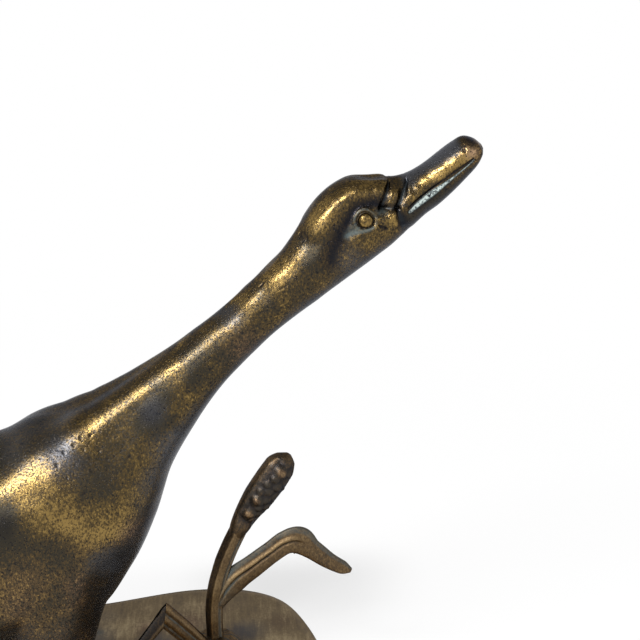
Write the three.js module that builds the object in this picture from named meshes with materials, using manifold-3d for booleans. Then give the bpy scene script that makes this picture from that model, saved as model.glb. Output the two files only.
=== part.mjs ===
// Striding goose on a pebble base, with a cattail and two bent reeds. A bronze assembly.
// Millimetres, +Z up, +X towards the head. The goose's left side is +Y. The origin is the
// middle of the base, on the surface that the felt rests on.
import * as THREE from 'three';
import { mergeVertices } from 'three/addons/utils/BufferGeometryUtils.js';
import Module from 'manifold-3d';

const wasm = await Module();
wasm.setup();

// Clearance between neighbouring pieces
const fitGap = 0.3;

// Base and felt
const baseLength = 133;
const baseDepth = 89;
const baseHeight = 11.5;
const baseEdgeRadius = 4.5;
const baseFootWidth = 1.2;
const baseFootHeight = 3;
const feltThickness = 1.5;
const feltProud = 0.5;
const feltMargin = 6;

// Bird casting
const birdLength = 213.4;
const birdHeight = 147.1;
const bodyBreadth = 54;
const neckBreadth = 16;
const headBreadth = 20.5;
const billBreadth = 12.5;
const bodyWall = 3;
const shoulderRidge = 1.8;
const bellyHeight = 14.5;
const spigotLength = 11;
const neckPinDiameter = 3;
const neckPinSink = 0.6;
const tailLength = 27;
const tailSpigotDiameter = 5;
const tailLift = 4.1;
const tailSpigotLength = 9;

// Eye and mouth
const eyeDiameter = 4.3;
const eyeRingWidth = 0.8;
const eyeProud = 1.1;
const mouthWidth = 1.5;
const mouthDepth = 1.2;

// Wings
const wingThickness = 11;
const wingHeight = 39;
const wingTenonDiameter = 5;
const wingTenonLength = 9;
const wingLean = THREE.MathUtils.degToRad(20);

// Legs and feet
const shankDiameter = 9;
const thighDiameter = 21;
const hipLean = 3;
const leftLegX = -46;
const rightLegX = -14;
const legSpread = 14;
const toeLength = 29;
const toeSpread = THREE.MathUtils.degToRad(27);
const footTurn = THREE.MathUtils.degToRad(8);
const toeDiameter = 3.6;
const webThickness = 1.8;
const legTenonDiameter = 8;
const legTenonLength = 9;
const castInDepth = 3;

// Fasteners under the base
const studDiameter = 4;
const nutWall = 1.5;
const nutHeight = 3.2;
const washerRim = 2.5;
const washerThickness = 0.8;
const counterboreRoom = 1;
const screwHeadRim = 1.75;
const screwHeadHeight = 2.6;
const screwBite = 3.6;

// Plants
const stemDiameter = 5.2;
const spikeDiameter = 9.6;
const reedWidth = 7.8;
const reedThickness = 3.2;
const foldedThickness = 2.4;
const foldLap = 0.4;
const leafWidth = 8.6;
const plantX = 33;
const plantY = 0;
const clumpDiameter = 19;
const clumpFloor = 1.1;
const plantTenonLength = 3.8;
const reedTenonDiameter = 2.4;

// Levels worked out from the sizes
const baseUnder = feltProud;
const baseTop = baseUnder + baseHeight;
const footLevel = baseTop + fitGap;
const recessDepth = feltThickness - feltProud + fitGap;
const recessTop = baseUnder + recessDepth;
const nutFlats = studDiameter + 2 * nutWall;
const washerDiameter = studDiameter + 2 * washerRim;
const screwHeadDiameter = studDiameter + 2 * screwHeadRim;
const counterboreDiameter = washerDiameter + 2 * counterboreRoom;
const counterboreDepth = Math.max(nutHeight, screwHeadHeight) + washerThickness + 3 * fitGap;
const counterboreTop = recessTop + counterboreDepth;
const washerTop = counterboreTop - fitGap;
const nutTop = washerTop - washerThickness - fitGap;
const nutUnder = nutTop - nutHeight;
const clumpHeight = screwBite + clumpFloor + plantTenonLength;
const cutterSize = 400;

const bronze = new THREE.MeshStandardMaterial({ color: 0x6b4f26, roughness: 0.42, metalness: 1 });
const paleBronze = new THREE.MeshStandardMaterial({ color: 0x7a6544, roughness: 0.5, metalness: 1 });
const steel = new THREE.MeshStandardMaterial({ color: 0x9a9a98, roughness: 0.4, metalness: 1 });
const felt = new THREE.MeshStandardMaterial({ color: 0x2f4a38, roughness: 0.95, metalness: 0 });

// Solids from three.js geometry

function toSolid(geometry) {
  const bare = geometry.index ? geometry.clone() : mergeVertices(geometry.clone());
  bare.deleteAttribute('normal');
  bare.deleteAttribute('uv');
  const merged = mergeVertices(bare, 1e-4);
  const solid = new wasm.Manifold(new wasm.Mesh({
    numProp: 3,
    vertProperties: new Float32Array(merged.attributes.position.array),
    triVerts: new Uint32Array(merged.index.array),
  }));
  return solid;
}

function toMesh(name, solid, material) {
  const { vertProperties, triVerts } = solid.getMesh();
  const geometry = new THREE.BufferGeometry();
  geometry.setAttribute('position', new THREE.BufferAttribute(new Float32Array(vertProperties), 3));
  geometry.setIndex(new THREE.BufferAttribute(new Uint32Array(triVerts), 1));
  geometry.computeVertexNormals();
  const mesh = new THREE.Mesh(geometry, material);
  mesh.name = name;
  return mesh;
}

function signedVolume(positions, index) {
  const corner = (i) => new THREE.Vector3().fromArray(positions, 3 * i);
  let volume = 0;
  for (let i = 0; i < index.length; i += 3) {
    const [a, b, c] = [corner(index[i]), corner(index[i + 1]), corner(index[i + 2])];
    volume += a.dot(b.cross(c));
  }
  return volume;
}

// A skin over rings of equal count, closed at both ends by fans
function loft(rings) {
  const sides = rings[0].length;
  const positions = rings.flat().flatMap((point) => point.toArray());
  const index = [];
  for (let ring = 0; ring < rings.length - 1; ring += 1) {
    for (let side = 0; side < sides; side += 1) {
      const next = (side + 1) % sides;
      const [a, b] = [ring * sides + side, ring * sides + next];
      index.push(a, b, b + sides, a, b + sides, a + sides);
    }
  }
  for (const ring of [0, rings.length - 1]) {
    const centre = new THREE.Vector3();
    rings[ring].forEach((point) => centre.addScaledVector(point, 1 / sides));
    const hub = positions.length / 3;
    positions.push(...centre.toArray());
    for (let side = 0; side < sides; side += 1) {
      const [a, b] = [ring * sides + side, ring * sides + ((side + 1) % sides)];
      index.push(...(ring === 0 ? [hub, b, a] : [hub, a, b]));
    }
  }
  if (signedVolume(positions, index) < 0) {
    index.reverse();
  }
  const geometry = new THREE.BufferGeometry();
  geometry.setAttribute('position', new THREE.Float32BufferAttribute(positions, 3));
  geometry.setIndex(index);
  return toSolid(geometry);
}

function ellipseRing(centre, u, v, sides) {
  return Array.from({ length: sides }, (_, side) => {
    const angle = (2 * Math.PI * side) / sides;
    return centre.clone().addScaledVector(u, Math.cos(angle)).addScaledVector(v, Math.sin(angle));
  });
}

function cylinder(diameter, from, to, sides = 16) {
  const axis = to.clone().sub(from);
  const geometry = new THREE.CylinderGeometry(diameter / 2, diameter / 2, axis.length(), sides);
  geometry.translate(0, axis.length() / 2, 0);
  const turn = new THREE.Quaternion().setFromUnitVectors(new THREE.Vector3(0, 1, 0), axis.normalize());
  geometry.applyQuaternion(turn);
  geometry.translate(from.x, from.y, from.z);
  return toSolid(geometry);
}

function ball(diameter, centre, sides = 12) {
  const geometry = new THREE.SphereGeometry(diameter / 2, sides, sides / 2);
  geometry.translate(centre.x, centre.y, centre.z);
  return toSolid(geometry);
}

// Everything on the side of a plane that its normal points to
function halfSpace(point, normal) {
  const geometry = new THREE.BoxGeometry(cutterSize, cutterSize, cutterSize);
  geometry.translate(0, 0, cutterSize / 2);
  const turn = new THREE.Quaternion().setFromUnitVectors(new THREE.Vector3(0, 0, 1), normal);
  geometry.applyQuaternion(turn);
  geometry.translate(point.x, point.y, point.z);
  return toSolid(geometry);
}

const above = (level) => halfSpace(new THREE.Vector3(0, 0, level), new THREE.Vector3(0, 0, 1));
const upright = (diameter, x, y, from, to, sides = 16) => (
  cylinder(diameter, new THREE.Vector3(x, y, from), new THREE.Vector3(x, y, to), sides));

// Tapered round rod through points with a diameter each
function rod(points, diameters, grow = 0, sides = 10, steps = 2) {
  const path = new THREE.CatmullRomCurve3(points.map((p) => new THREE.Vector3(...p)));
  const sizes = new THREE.CatmullRomCurve3(diameters.map((d) => new THREE.Vector3(d, 0, 0)));
  const count = (points.length - 1) * steps;
  const rings = [];
  let u = new THREE.Vector3(0, 1, 0);
  for (let i = 0; i <= count; i += 1) {
    const tangent = path.getTangent(i / count);
    u = u.clone().addScaledVector(tangent, -u.dot(tangent)).normalize();
    const v = tangent.clone().cross(u);
    const radius = sizes.getPoint(i / count).x / 2 + grow;
    rings.push(ellipseRing(path.getPoint(i / count), u.clone().multiplyScalar(radius),
      v.multiplyScalar(radius), sides));
  }
  return loft(rings);
}

// Bird form
// Each section runs from a point on the crest line to a point on the keel line, and has the
// bird's breadth there. The points are [x, height above the belly's lowest line] on a drawing
// that is brought to the bird's length and height.
const torsoSections = [
  [[-104, 31], [-100, 21.5], 0.37 * bodyBreadth],
  [[-88, 40], [-82, 14], 0.66 * bodyBreadth],
  [[-66, 49.5], [-56, 3.7], 0.92 * bodyBreadth],
  [[-44, 57.5], [-28, 0], 1.02 * bodyBreadth],
  [[-27, 63.8], [-2.3, 7.3], 1.0 * bodyBreadth],
  [[-14.5, 68.2], [10, 23.5], 0.9 * bodyBreadth],
  [[-4, 71.6], [17, 38.5], 0.75 * bodyBreadth],
  [[3.5, 75.2], [22.4, 54], 0.6 * bodyBreadth],
];
const neckSections = [
  [[20, 86.4], [33, 72], 1.32 * neckBreadth],
  [[31.5, 94.6], [41.3, 82.2], 1.08 * neckBreadth],
  [[42.7, 104.4], [52.6, 93.1], 1.0 * neckBreadth],
  [[54, 115.7], [65.4, 103.1], 1.12 * neckBreadth],
];
const headSections = [
  [[65, 131.7], [80, 114.1], 1.0 * headBreadth],
  [[71.8, 136.2], [84.5, 117.5], 0.98 * headBreadth],
  [[78.6, 137], [87.8, 120.5], 0.86 * headBreadth],
  [[84.7, 136.3], [90.8, 123.1], 0.72 * headBreadth],
];
const billSections = [
  [[88.4, 137.1], [93.8, 125.8], 1.06 * billBreadth],
  [[92.4, 139.1], [98.1, 129], 1.0 * billBreadth],
  [[100.9, 145.5], [105.9, 137], 0.96 * billBreadth],
  [[103.8, 147.1], [108.2, 139.9], 0.9 * billBreadth],
  [[106.9, 146.5], [109.2, 142.1], 0.68 * billBreadth],
  [[108.8, 145.1], [109.4, 143.7], 0.25 * billBreadth],
];
const birdSections = [...torsoSections, ...neckSections, ...headSections, ...billSections];
const neckJoint = torsoSections.length - 1;
const headStart = torsoSections.length + neckSections.length;
const billStart = headStart + headSections.length;
const billTip = birdSections.length - 1;

const birdLevel = baseTop + bellyHeight;
const drawnPoints = birdSections.flatMap(([crest, keel]) => [crest, keel]);
const drawnSpan = (axis) => {
  const values = drawnPoints.map((point) => point[axis]);
  return Math.max(...values) - Math.min(...values);
};
const [lengthScale, heightScale] = [birdLength / drawnSpan(0), birdHeight / drawnSpan(1)];
const drawingPoint = (x, height, y = 0) => (
  new THREE.Vector3(x * lengthScale, y, birdLevel + height * heightScale));
const crestLine = new THREE.CatmullRomCurve3(birdSections.map(([crest]) => drawingPoint(...crest)));
const keelLine = new THREE.CatmullRomCurve3(birdSections.map(([, keel]) => drawingPoint(...keel)));
const breadthLine = new THREE.CatmullRomCurve3(
  birdSections.map(([, , breadth]) => new THREE.Vector3(breadth, 0, 0)),
);

// The section at a place along the bird, in whole sections from the tail
function birdSection(place) {
  const crest = crestLine.getPoint(place / billTip);
  const keel = keelLine.getPoint(place / billTip);
  const breadth = breadthLine.getPoint(place / billTip).x;
  const centre = crest.clone().add(keel).multiplyScalar(0.5);
  return { crest, keel, breadth, centre, half: crest.distanceTo(keel) / 2 };
}

// How far the torso's section stands out from its ellipse, at an angle from the crest: a
// soft ridge from the neck down over each shoulder, and a flatter flank under it
const { degToRad, lerp, smoothstep } = THREE.MathUtils;
const ridgeTurns = [degToRad(49), degToRad(29)];
const ridgeWidth = degToRad(30);
const flatTurn = degToRad(44);
const flatShare = 0.6;
// Places along the bird where the ridge comes up, nears the crest and dies out
const [ridgeStart, ridgeBend, ridgeEnd] = [[1, 3], [3.2, 6.4], [6.5, 8.5]];
const hill = (distance, width) => 1 - smoothstep(Math.abs(distance), 0, width);

function ridgeAt(place, angle) {
  const along = smoothstep(place, ...ridgeStart) * (1 - smoothstep(place, ...ridgeEnd));
  const turn = Math.PI - Math.abs(Math.PI - angle);
  const fromRidge = turn - lerp(...ridgeTurns, smoothstep(place, ...ridgeBend));
  const flat = flatShare * hill(fromRidge - flatTurn, ridgeWidth);
  return shoulderRidge * along * (hill(fromRidge, ridgeWidth) - flat);
}

function birdSkin(from, to, grow = 0, perSection = 2, sides = 32) {
  const count = Math.round((to - from) * perSection);
  const rings = [];
  for (let i = 0; i <= count; i += 1) {
    const place = from + ((to - from) * i) / count;
    const { crest, centre, breadth, half } = birdSection(place);
    const u = crest.clone().sub(centre).setLength(half + grow);
    const v = new THREE.Vector3(0, breadth / 2 + grow, 0);
    rings.push(ellipseRing(centre, u, v, sides).map((point, side) => {
      const outward = point.clone().sub(centre).normalize();
      return point.addScaledVector(outward, ridgeAt(place, (2 * Math.PI * side) / sides));
    }));
  }
  return loft(rings);
}

// Direction of the bird's axis at a section, and a point on its flank
function axisAt(place) {
  const { crest, keel } = birdSection(place);
  const across = crest.sub(keel);
  return new THREE.Vector3(across.z, 0, -across.x).normalize();
}

function flankPoint(place, share, side) {
  const { crest, centre, breadth } = birdSection(place);
  const point = centre.clone().lerp(crest, share);
  point.y = side * (breadth / 2) * Math.sqrt(1 - share * share);
  return point;
}

// Torso: two hollow shells, open at the neck, brazed along the middle
function hollowTorso() {
  const jointPlane = birdSection(neckJoint).centre;
  const outer = birdSkin(0, neckJoint + 1).subtract(halfSpace(jointPlane, axisAt(neckJoint)));
  const hollow = birdSkin(0.9, neckJoint + 1, -bodyWall);
  const tail = birdSection(0).centre;
  const tailHole = cylinder(tailSpigotDiameter + 2 * fitGap, tail.clone().addScaledVector(axisAt(0), -1),
    tail.clone().addScaledVector(axisAt(0), tailSpigotLength + fitGap));
  let torso = outer.subtract(hollow).subtract(tailHole).subtract(neckPin(fitGap, cutterSize));
  for (const side of [1, -1]) {
    torso = torso.subtract(legTenon(side, fitGap));
    torso = torso.subtract(wingTenon(side, fitGap));
  }
  return torso;
}

function torsoShell(side) {
  const seam = new THREE.Vector3(0, (side * fitGap) / 2, 0);
  return hollowTorso().intersect(halfSpace(seam, new THREE.Vector3(0, side, 0)));
}

// Pin across the neck spigot, cut a little below the skin
function neckPin(grow = 0, length = null) {
  const place = neckJoint - 0.6;
  const { centre, breadth } = birdSection(place);
  const flank = breadth / 2 + ridgeAt(place, Math.PI / 2);
  const reach = length ? length / 2 : flank - neckPinSink;
  const from = centre.clone().setY(-reach);
  return cylinder(neckPinDiameter + 2 * grow, from, centre.clone().setY(reach));
}

// Neck, head and bill: one solid casting with a spigot into the torso
function neckHead() {
  const axis = axisAt(neckJoint);
  const joint = birdSection(neckJoint).centre;
  const start = joint.clone().addScaledVector(axis, fitGap);
  const skin = birdSkin(neckJoint - 1, billTip).intersect(halfSpace(start, axis));
  const spigotEnd = joint.clone().addScaledVector(axis, -spigotLength);
  const spigot = birdSkin(neckJoint - 2, neckJoint + 1, -bodyWall - fitGap, 1)
    .intersect(halfSpace(spigotEnd, axis));
  let casting = skin.add(spigot).subtract(neckPin(fitGap, cutterSize));
  for (const side of [1, -1]) {
    casting = casting.subtract(eyeGroove(side)).add(eyeBead(side)).subtract(mouthGroove(side));
  }
  return casting;
}

const eyePlace = headStart + 0.85;
const eyeShare = 0.05;
const mouthPlaces = [-0.6, 0.5, 1.5, 3.2].map((sectionsPast) => billStart + sectionsPast);
const mouthShares = [-0.22, -0.16, -0.12, 0];

function eyeGroove(side) {
  const centre = flankPoint(eyePlace, eyeShare, side);
  const outer = eyeDiameter / 2 + eyeRingWidth;
  const ring = new THREE.TorusGeometry(outer - eyeRingWidth / 2, eyeRingWidth / 2, 6, 16);
  ring.rotateX(Math.PI / 2);
  ring.translate(centre.x, centre.y, centre.z);
  return toSolid(ring);
}

function eyeBead(side) {
  const centre = flankPoint(eyePlace, eyeShare, side);
  centre.y -= side * (eyeDiameter / 2 - eyeProud / 2);
  return ball(eyeDiameter, centre);
}

function mouthGroove(side) {
  const points = mouthPlaces.map((place, i) => {
    const point = flankPoint(place, mouthShares[i], side);
    point.y -= side * (mouthDepth - mouthWidth / 2);
    return point.toArray();
  });
  return rod(points, [mouthWidth * 0.7, mouthWidth, mouthWidth, mouthWidth * 0.6], 0, 8);
}

// Tail fan with its spigot
function tailFan() {
  const axis = axisAt(0);
  const start = birdSection(0).centre.addScaledVector(axis, -fitGap);
  const { half, breadth } = birdSection(0);
  const up = new THREE.Vector3(-axis.z, 0, axis.x);
  const distances = [0, 0.25, 0.52, 0.8, 0.94, 1].map((share) => share * tailLength);
  const lifts = [0, 0.07, 0.29, 0.68, 0.9, 1].map((share) => share * tailLift);
  const halfHeights = [1, 0.8, 0.54, 0.34, 0.24, 0.12].map((share) => share * half);
  const halfBreadths = [0.5, 0.62, 0.8, 0.92, 0.8, 0.5].map((share) => share * breadth);
  const rings = distances.map((distance, i) => {
    const centre = start.clone().addScaledVector(axis, -distance).addScaledVector(up, lifts[i]);
    const u = up.clone().multiplyScalar(halfHeights[i]);
    return ellipseRing(centre, u, new THREE.Vector3(0, halfBreadths[i], 0), 24);
  });
  const spigot = cylinder(tailSpigotDiameter, start.clone().addScaledVector(axis, -castInDepth),
    start.clone().addScaledVector(axis, tailSpigotLength));
  let fan = loft(rings).add(spigot);
  for (const side of [1, -1]) {
    fan = fan.subtract(wingBlank(side, fitGap));
  }
  return fan;
}

// Wing: [x, height above the belly's lowest line, share of the body's half breadth, share of
// the wing's height, share of its thickness], from the shoulder to the tip
const wingSections = [
  [-26, 43.5, 0.86, 0.2, 0.4],
  [-32, 44, 0.88, 0.68, 0.85],
  [-44, 43.5, 0.88, 0.98, 1.0],
  [-64, 40.5, 0.78, 0.94, 1.0],
  [-85, 37, 0.56, 0.68, 0.86],
  [-103, 34, 0.34, 0.38, 0.6],
  [-117, 32.5, 0.2, 0.17, 0.4],
  [-123, 32, 0.15, 0.06, 0.2],
];

function wingBlank(side, grow = 0) {
  const path = new THREE.CatmullRomCurve3(wingSections.map(([x, height, breadthShare]) => (
    drawingPoint(x, height, (side * breadthShare * bodyBreadth) / 2))));
  const shares = new THREE.CatmullRomCurve3(wingSections.map((section) => (
    new THREE.Vector3(section[3], section[4], 0))));
  const count = (wingSections.length - 1) * 2;
  const rings = [];
  for (let i = 0; i <= count; i += 1) {
    const share = shares.getPoint(i / count);
    const u = new THREE.Vector3(0, -side * Math.sin(wingLean), Math.cos(wingLean));
    const v = new THREE.Vector3(0, side * Math.cos(wingLean), Math.sin(wingLean));
    u.multiplyScalar((share.x * wingHeight) / 2 + grow);
    v.multiplyScalar((share.y * wingThickness) / 2 + grow);
    rings.push(ellipseRing(path.getPoint(i / count), u, v, 20));
  }
  return loft(rings);
}

// Tenon behind each wing, through the torso's wall
function wingTenon(side, grow = 0) {
  const [x, height, breadthShare] = wingSections[2];
  const outside = drawingPoint(x, height, (side * breadthShare * bodyBreadth) / 2);
  const inside = outside.clone();
  inside.y -= side * (wingTenonLength + grow);
  return cylinder(wingTenonDiameter + 2 * grow, outside, inside);
}

function wing(side) {
  const body = birdSkin(0, neckJoint + 1, fitGap);
  return wingBlank(side).subtract(body).add(wingTenon(side));
}

// Legs
const legX = (side) => (side > 0 ? leftLegX : rightLegX);

// The belly's level above a leg
function bellyLevel(side) {
  const plumbLine = upright(1, legX(side), side * legSpread, baseTop, baseTop + cutterSize / 4);
  return plumbLine.intersect(birdSkin(0, neckJoint)).boundingBox().min[2];
}
const bellyLevels = { 1: bellyLevel(1), '-1': bellyLevel(-1) };

function legTenon(side, grow = 0) {
  const from = new THREE.Vector3(legX(side), side * legSpread, bellyLevels[side] - castInDepth);
  const to = from.clone();
  to.z = bellyLevels[side] + legTenonLength + grow;
  return cylinder(legTenonDiameter + 2 * grow, from, to);
}

// A toe or the hind spur: from the ankle down to its tip on the ground
function toe(x, y, tip, sizes) {
  const part = (share, height) => [x + (tip.x - x) * share, y + (tip.y - y) * share, footLevel + height];
  const points = [part(0, shankDiameter * 0.62), part(0.35, toeDiameter * 0.55),
    part(0.7, toeDiameter * 0.3), part(1, toeDiameter * 0.2)];
  return rod(points, sizes);
}

// Web between the toes, its front edge drawn back in two curves
function web(x, y, tips) {
  const drawnBack = 0.78;
  const outline = new THREE.Shape();
  outline.moveTo(x - shankDiameter * 0.3, y);
  outline.lineTo(tips[0].x, tips[0].y);
  for (const [from, to] of [[tips[0], tips[1]], [tips[1], tips[2]]]) {
    const middle = from.clone().add(to).multiplyScalar(0.5);
    outline.quadraticCurveTo(x + (middle.x - x) * drawnBack, y + (middle.y - y) * drawnBack, to.x, to.y);
  }
  outline.closePath();
  const options = { depth: webThickness, bevelEnabled: false, curveSegments: 6 };
  const geometry = new THREE.ExtrudeGeometry(outline, options);
  geometry.translate(0, 0, footLevel);
  return toSolid(geometry);
}

function foot(x, y, turn) {
  const reaches = [0.88 * toeLength, toeLength, 0.88 * toeLength];
  const tips = [-toeSpread, 0, toeSpread].map((spread, i) => (
    new THREE.Vector2(reaches[i], 0).rotateAround(new THREE.Vector2(), spread + turn)
      .add(new THREE.Vector2(x, y))));
  const heel = new THREE.Vector2(x - shankDiameter * 0.95, y);
  const toeSizes = [shankDiameter * 0.72, toeDiameter * 1.5, toeDiameter, toeDiameter * 0.55];
  const spurSizes = [shankDiameter * 0.72, toeDiameter * 1.3, toeDiameter, toeDiameter * 0.6];
  let solid = web(x, y, tips).add(toe(x, y, heel, spurSizes));
  for (const tip of tips) {
    solid = solid.add(toe(x, y, tip, toeSizes));
  }
  return solid.intersect(above(footLevel));
}

function leg(side) {
  const x = legX(side);
  const y = side * legSpread;
  const belly = bellyLevels[side];
  const knee = footLevel + (belly - footLevel) * 0.55;
  const shank = footLevel + (knee - footLevel) * 0.6;
  const thighTop = belly + thighDiameter / 2;
  const line = [[x, y, footLevel + shankDiameter * 0.3], [x, y, shank], [x, y, knee],
    [x + hipLean * 0.7, y * 0.95, belly], [x + hipLean, y * 0.85, thighTop]];
  const sizes = [0.95 * shankDiameter, shankDiameter, 1.15 * shankDiameter, thighDiameter,
    1.15 * thighDiameter];
  const body = birdSkin(0, neckJoint + 1, fitGap);
  const stud = upright(studDiameter, x, y, nutUnder, footLevel + castInDepth);
  return rod(line, sizes, 0, 16).subtract(body).add(foot(x, y, side * footTurn)).add(stud)
    .add(legTenon(side));
}

// Fasteners under the base
function washer(x, y) {
  const hole = upright(studDiameter + 2 * fitGap, x, y, washerTop - washerThickness - 1, washerTop + 1);
  return upright(washerDiameter, x, y, washerTop - washerThickness, washerTop).subtract(hole);
}

function nut(x, y) {
  const across = nutFlats / Math.cos(Math.PI / 6);
  const hole = upright(studDiameter + 2 * fitGap, x, y, nutUnder - 1, nutTop + 1);
  return upright(across, x, y, nutUnder, nutTop, 6).subtract(hole);
}

function clumpScrew(grow = 0) {
  const shank = upright(studDiameter + 2 * grow, plantX, plantY, nutTop - 1, footLevel + screwBite + grow);
  const head = upright(screwHeadDiameter + 2 * grow, plantX, plantY, nutTop - screwHeadHeight, nutTop);
  return shank.add(head);
}

// Base: egg-shaped in plan, blunt at the front. Points are shares of the half length and depth.
const backOutline = [[1, 0], [0.955, 0.43], [0.84, 0.8], [0.66, 0.965], [0.4, 1], [-0.04, 0.86],
  [-0.5, 0.73], [-0.85, 0.46]];
const frontOutline = [[-1, 0], [-0.87, -0.44], [-0.5, -0.75], [-0.02, -0.9], [0.4, -0.97],
  [0.7, -0.88], [0.91, -0.57]];

function baseRing(inset, level, sides = 52) {
  const outline = new THREE.CatmullRomCurve3([...backOutline, ...frontOutline].map(([x, y]) => (
    new THREE.Vector3(x * (baseLength / 2 - inset), y * (baseDepth / 2 - inset), level))), true);
  return Array.from({ length: sides }, (_, i) => outline.getPoint(i / sides));
}

function baseCasting() {
  const rings = [[1, 0], [0.25, 0.4], [0, 1]].map(([inset, rise]) => (
    baseRing(inset * baseFootWidth, baseUnder + rise * baseFootHeight)));
  for (let step = 0; step <= 5; step += 1) {
    const angle = (Math.PI / 2) * (step / 5);
    rings.push(baseRing(baseEdgeRadius * (1 - Math.cos(angle)),
      baseTop - baseEdgeRadius * (1 - Math.sin(angle))));
  }
  const recessInset = feltMargin - fitGap;
  const recess = loft([baseRing(recessInset, baseUnder - 2), baseRing(recessInset, recessTop)]);
  let casting = loft(rings).subtract(recess);
  for (const [x, y] of [[leftLegX, legSpread], [rightLegX, -legSpread], [plantX, plantY]]) {
    const bore = upright(studDiameter + 2 * fitGap, x, y, recessTop - 1, baseTop + 1);
    const pocket = upright(counterboreDiameter, x, y, recessTop - 1, counterboreTop);
    casting = casting.subtract(bore).subtract(pocket);
  }
  return casting;
}

const feltPad = () => loft([baseRing(feltMargin, 0), baseRing(feltMargin, feltThickness)]);

// Plants. Points are [x from the clump's middle, height above the base top].
const stemLine = [[0.2, 3], [-0.1, 10], [0, 20], [1.3, 28], [3.4, 34.8], [6.1, 41.3], [8.8, 47]];
const spikeLine = [[8, 45.5], [10.4, 50], [14, 55.4], [17.4, 60.4], [20.1, 64.6], [21.9, 67.2],
  [22.8, 68.7]];
const spikeShares = [0.6, 0.76, 0.96, 1, 0.96, 0.66, 0.2];
const plantPoint = ([x, height, y = 0]) => [plantX + x, plantY + y, baseTop + height];

function cattailBody(grow = 0) {
  const stem = rod(stemLine.map(plantPoint), stemLine.map(() => stemDiameter), grow);
  const spike = rod(spikeLine.map(plantPoint), spikeShares.map((s) => s * spikeDiameter), grow, 12);
  return stem.add(spike);
}

// Blade: broad in the XZ plane and thin in Y, with rounded faces
function blade(points, width, grow = 0, thickness = reedThickness) {
  const path = new THREE.CatmullRomCurve3(points.map((p) => new THREE.Vector3(...plantPoint(p))));
  const widths = new THREE.CatmullRomCurve3(points.map((p) => new THREE.Vector3(p[3] * width, 0, 0)));
  const count = (points.length - 1) * 2;
  const rings = [];
  for (let i = 0; i <= count; i += 1) {
    const tangent = path.getTangent(i / count);
    const across = new THREE.Vector3(-tangent.z, 0, tangent.x).normalize();
    const half = widths.getPoint(i / count).x / 2;
    const thick = Math.min(thickness / 2, half);
    rings.push(ellipseRing(path.getPoint(i / count), across.multiplyScalar(half + grow),
      new THREE.Vector3(0, thick + grow, 0), 10));
  }
  return loft(rings);
}

// [x, height, y, share of the width]
const reedLine = [[0.9, 18.8, 0, 0.4], [3.1, 23.6, 0, 0.85], [6.5, 28, 0, 1.05], [11.6, 32.1, 0, 0.96],
  [17.4, 36.6, 0, 0.9], [21.8, 39.7, 0, 0.98], [25.4, 40.2, 0, 1.16], [29.6, 37, 0, 0.82],
  [34.6, 33, 0, 0.66], [38.9, 30.3, 0, 0.54], [41.4, 29.2, 0, 0.2]];
const leafRise = [[-1.5, 3, -1, 0.5], [-4.6, 6.9, -2.2, 0.66], [-8, 11.2, -3.2, 0.76],
  [-11.3, 15.3, -4, 0.8], [-14.8, 19.3, -4.6, 0.82], [-17, 21.8, -5, 0.82]];
const leafFall = [[-12.6, 21.9, -4.4, 0.54], [-14.8, 19.3, -4.6, 0.54], [-17.6, 15.9, -5.2, 0.48],
  [-20.2, 12.8, -5.8, 0.44], [-22.6, 10, -6.3, 0.4], [-25, 7.2, -6.8, 0.3], [-26.2, 5.8, -7, 0.14]];
const leafFold = leafRise[4];
const leafPeak = [-14.2, 23.7, -4.6];

// Leaf folded over at its peak: the limb up to the fold and the limb beyond it, met at a mitre
function leaf(grow = 0) {
  const fold = new THREE.Vector3(...plantPoint(leafFold));
  const mitre = new THREE.Vector3(...plantPoint(leafPeak)).sub(fold);
  const across = new THREE.Vector3(-mitre.z, 0, mitre.x).normalize();
  const beyond = halfSpace(fold, across);
  const lap = halfSpace(fold.clone().addScaledVector(across, foldLap), across);
  const rise = blade(leafRise, leafWidth, grow).subtract(lap);
  return rise.add(blade(leafFall, leafWidth, grow, foldedThickness).intersect(beyond));
}

// Tenon at the reed's root, to the middle of the cattail's stem
function reedTenon(grow = 0) {
  const outside = new THREE.Vector3(...plantPoint(reedLine[2]));
  const stemMiddle = new THREE.Vector3(...plantPoint(stemLine[3]));
  const inward = stemMiddle.clone().sub(outside).normalize();
  return cylinder(reedTenonDiameter + 2 * grow, outside, stemMiddle.addScaledVector(inward, grow), 12);
}

function rootClump(grow = 0) {
  const rings = [0, 0.3, 0.6, 0.85, 1].map((share) => {
    const radius = (clumpDiameter / 2) * Math.sqrt(1 - 0.72 * share * share) + grow;
    const centre = new THREE.Vector3(plantX, plantY, footLevel - grow + share * (clumpHeight + 2 * grow));
    return ellipseRing(centre, new THREE.Vector3(radius, 0, 0), new THREE.Vector3(0, radius * 0.85, 0), 20);
  });
  return loft(rings);
}

const clumpTop = footLevel + clumpHeight;
const tenonFloor = clumpTop - plantTenonLength;

const cattail = cattailBody().intersect(above(tenonFloor)).subtract(reedTenon(fitGap));
const stemRoom = cattailBody(fitGap);
const bentReed = blade(reedLine, reedWidth).subtract(stemRoom).add(reedTenon());
const reedRoom = blade(reedLine, reedWidth, fitGap);
const underTenons = rootClump(fitGap).subtract(above(tenonFloor));
const bentLeaf = leaf().subtract(stemRoom).subtract(reedRoom)
  .subtract(underTenons).intersect(above(footLevel));
const leafRoom = leaf(fitGap);
const plantRoom = stemRoom.add(leafRoom).intersect(above(tenonFloor - fitGap));
const clump = rootClump().subtract(plantRoom).subtract(clumpScrew(fitGap));

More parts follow.
